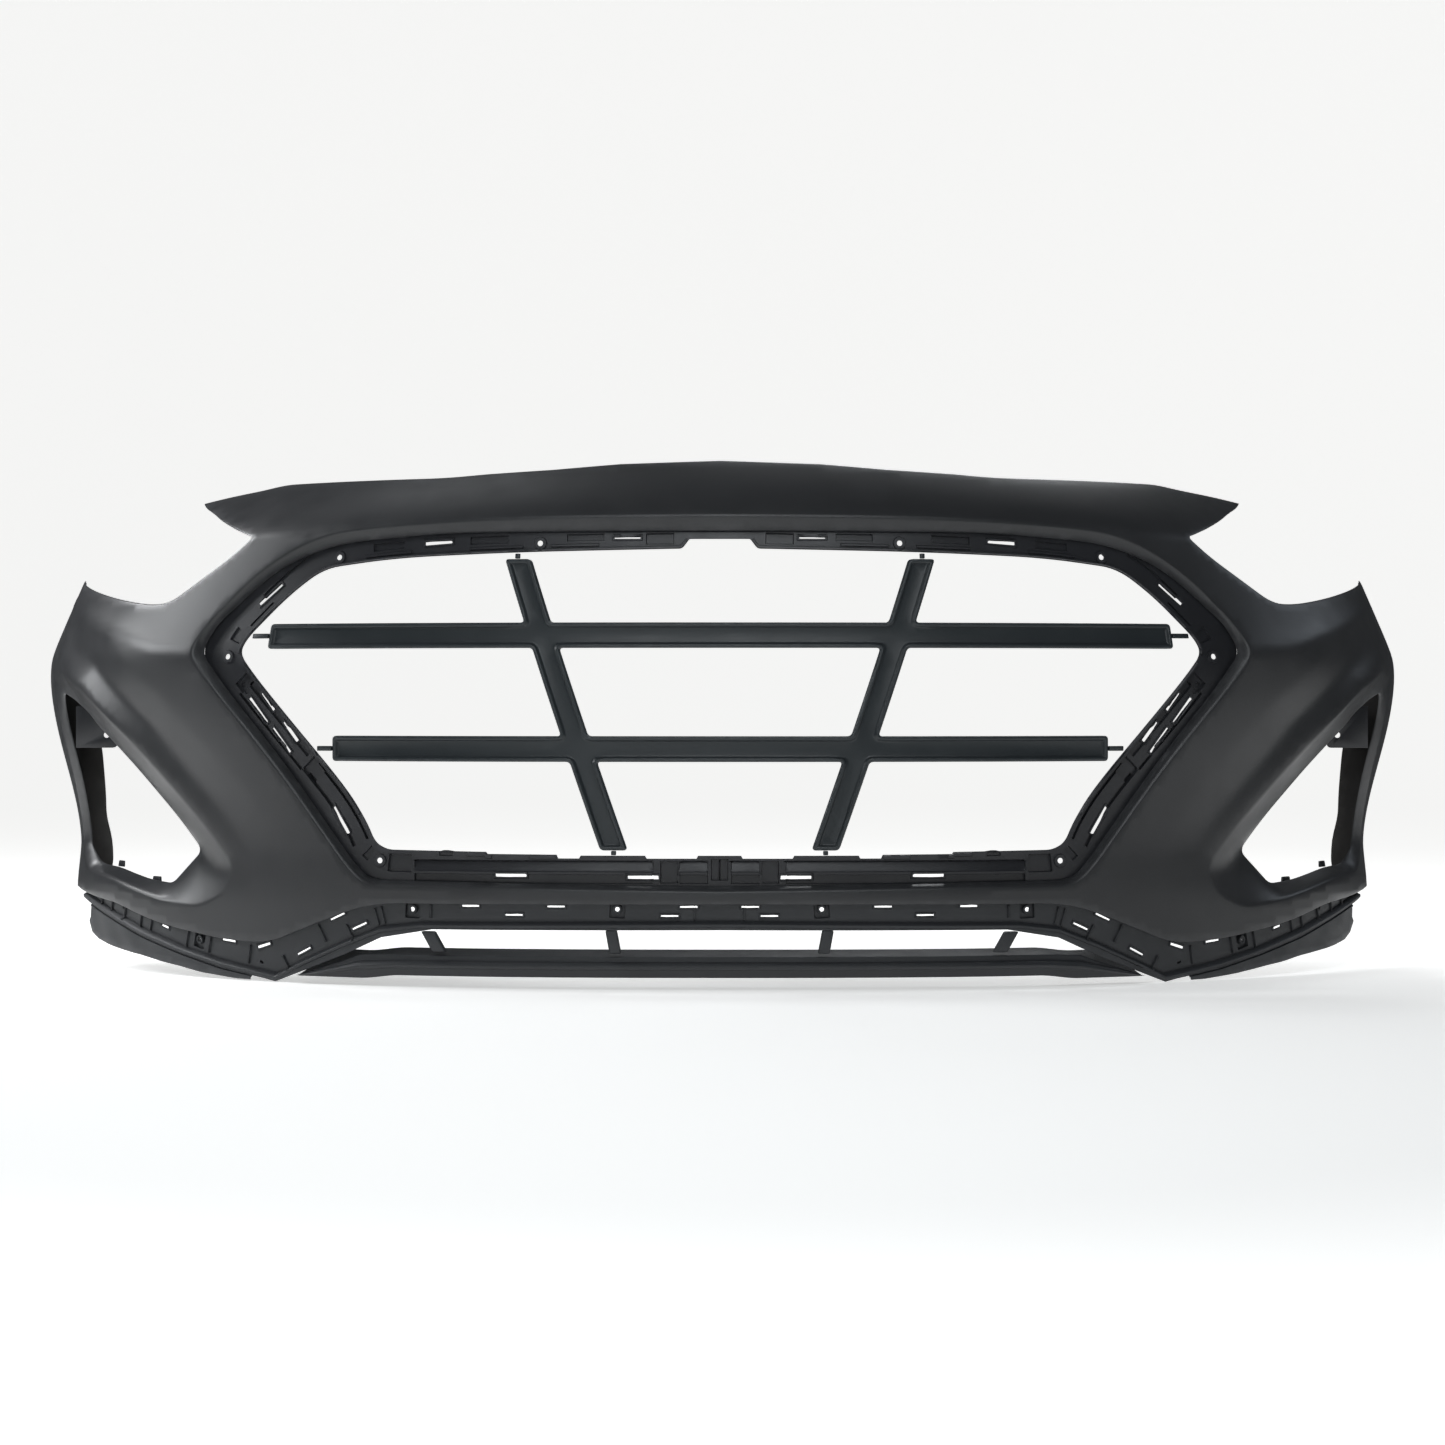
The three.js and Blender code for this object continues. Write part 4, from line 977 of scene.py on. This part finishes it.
# ------------------------------------------------------------------ room, lights, camera
def plain(name, color, glow):
    m = bpy.data.materials.new(name)
    m.use_nodes = True
    shader = m.node_tree.nodes["Principled BSDF"]
    shader.inputs["Base Color"].default_value = (*color, 1)
    shader.inputs["Roughness"].default_value = 0.9
    shader.inputs["Emission Color"].default_value = (*color, 1)
    shader.inputs["Emission Strength"].default_value = glow
    return m


def painted_shadow_pool(m, centre, inner, outer, low, high):
    """Emission that rises from low to high between two distances from centre, as a painted soft shadow
    that is dimmer near the centre.
    """
    nodes, links = m.node_tree.nodes, m.node_tree.links
    coords = nodes.new("ShaderNodeTexCoord")
    away = nodes.new("ShaderNodeVectorMath")
    away.operation = "DISTANCE"
    away.inputs[1].default_value = centre
    rise = nodes.new("ShaderNodeMapRange")
    rise.interpolation_type = "SMOOTHSTEP"
    for key, value in (("From Min", inner), ("From Max", outer), ("To Min", low), ("To Max", high)):
        rise.inputs[key].default_value = value
    links.new(coords.outputs["Object"], away.inputs[0])
    links.new(away.outputs["Value"], rise.inputs["Value"])
    links.new(rise.outputs["Result"], nodes["Principled BSDF"].inputs["Emission Strength"])
    return m


def floor_mat(name, half_width, y0, y1, material):
    """Flat sheet under and in front of the object."""
    xs, ys = np.linspace(-half_width, half_width, 9), np.linspace(y0, y1, 7)
    verts = [(x, y, -0.0005) for y in ys for x in xs]
    n = len(xs)
    faces = [(r * n + c, r * n + c + 1, (r + 1) * n + c + 1, (r + 1) * n + c)
             for r in range(len(ys) - 1) for c in range(n - 1)]
    return build(name, verts, faces, material)


def round_room(name, material, sides=64):
    """Round room whose floor curves up into the wall and closes overhead."""
    profile = [(0.01, -0.006), (3.0, -0.006), (6.5, -0.006)]
    profile += [(6.5 + 3 * math.sin(a), 3 - 3 * math.cos(a)) for a in np.linspace(0.15, 1.5708, 9)]
    profile += [(9.5, 6.0), (6.0, 9.0), (0.01, 10.0)]
    turns = np.linspace(0, 2 * math.pi, sides, endpoint=False)
    verts = [(r * math.cos(a), r * math.sin(a), z) for r, z in profile for a in turns]
    faces = [(i * sides + j, i * sides + (j + 1) % sides,
              (i + 1) * sides + (j + 1) % sides, (i + 1) * sides + j)
             for i in range(len(profile) - 1) for j in range(sides)]
    return build(name, verts, faces, material)


PALE = (0.86, 0.86, 0.85)
# Painted shadow: the floor glows at half strength round a spot in front of the object, rising to full
# strength further out.
pale_floor = painted_shadow_pool(plain("pale_floor", PALE, 1.0), centre=(0, -1.0, 0), inner=0.8, outer=1.7,
                      low=0.5, high=1.0)
floor = floor_mat("floor", 3.2, -3.4, 0.6, pale_floor)
room = round_room("room", plain("pale_room", PALE, 1.0))
room.visible_diffuse = False
room.visible_glossy = False
room.visible_shadow = False


def softbox(name, place, target, width, height, power, color):
    light = bpy.data.lights.new(name, "AREA")
    light.shape = "RECTANGLE"
    light.size, light.size_y = width, height
    light.energy = power
    light.color = color
    obj = bpy.data.objects.new(name, light)
    obj.location = place
    aim = Vector(target) - Vector(place)
    obj.rotation_euler = aim.to_track_quat("-Z", "Y").to_euler()
    bpy.context.scene.collection.objects.link(obj)


# name, bearing and elevation in degrees, width and height in metres, power in watts, colour
LIGHTS = [
    ("main_left", 167, 34, 0.5, 0.45, 22, (0.97, 0.98, 1.0)),
    ("edge_left", 182, 18, 0.6, 0.7, 16, (0.96, 0.98, 1.0)),
    ("front_left", 194, 30, 0.6, 0.6, 5, (0.96, 0.98, 1.0)),
    ("front", 270, 30, 1.1, 0.6, 9, (0.93, 0.97, 1.0)),
    ("top_front", 270, 52, 1.4, 0.5, 9, (0.93, 0.97, 1.0)),
    ("low_front", 262, 3, 1.3, 0.4, 3, (0.92, 0.97, 1.0)),
    ("back_left", 130, 60, 0.8, 0.8, 2, (0.95, 0.98, 1.0)),
    ("right", 10, 30, 0.9, 0.8, 4, (0.82, 0.90, 1.0)),
    ("back", 75, 40, 1.2, 0.8, 10, (0.95, 0.98, 1.0)),
]
AIM, REACH = (0, -0.1, 0.4), 2.6
for name, bearing, height, wide, high, power, color in LIGHTS:
    b, h = math.radians(bearing), math.radians(height)
    place = (AIM[0] + REACH * math.cos(b) * math.cos(h), AIM[1] + REACH * math.sin(b) * math.cos(h),
             AIM[2] + REACH * math.sin(h))
    softbox(name, place, AIM, wide, high, power, color)

world = bpy.data.worlds.new("room")
bpy.context.scene.world = world
world.use_nodes = True
world.node_tree.nodes["Background"].inputs["Color"].default_value = (0.75, 0.78, 0.82, 1)
world.node_tree.nodes["Background"].inputs["Strength"].default_value = 0.05

SENSOR = 36
FIELD = 0.4816667  # width of view over distance
CAMERA_DISTANCE = 3600  # from the foremost plane
TILT_DOWN, TURN_LEFT = math.atan(0.0075), math.atan(0.0056)
camera = bpy.data.cameras.new("camera")
camera.sensor_width = SENSOR
camera.lens = SENSOR / FIELD
eye = bpy.data.objects.new("camera", camera)
eye.location = (0.0238, -(CAMERA_DISTANCE + BACK_SHIFT) / 1000, 0.348)
eye.rotation_euler = (math.pi / 2 - TILT_DOWN, 0, TURN_LEFT)
bpy.context.scene.collection.objects.link(eye)
bpy.context.scene.camera = eye
bpy.context.scene.view_settings.view_transform = "Standard"

bpy.context.view_layer.update()
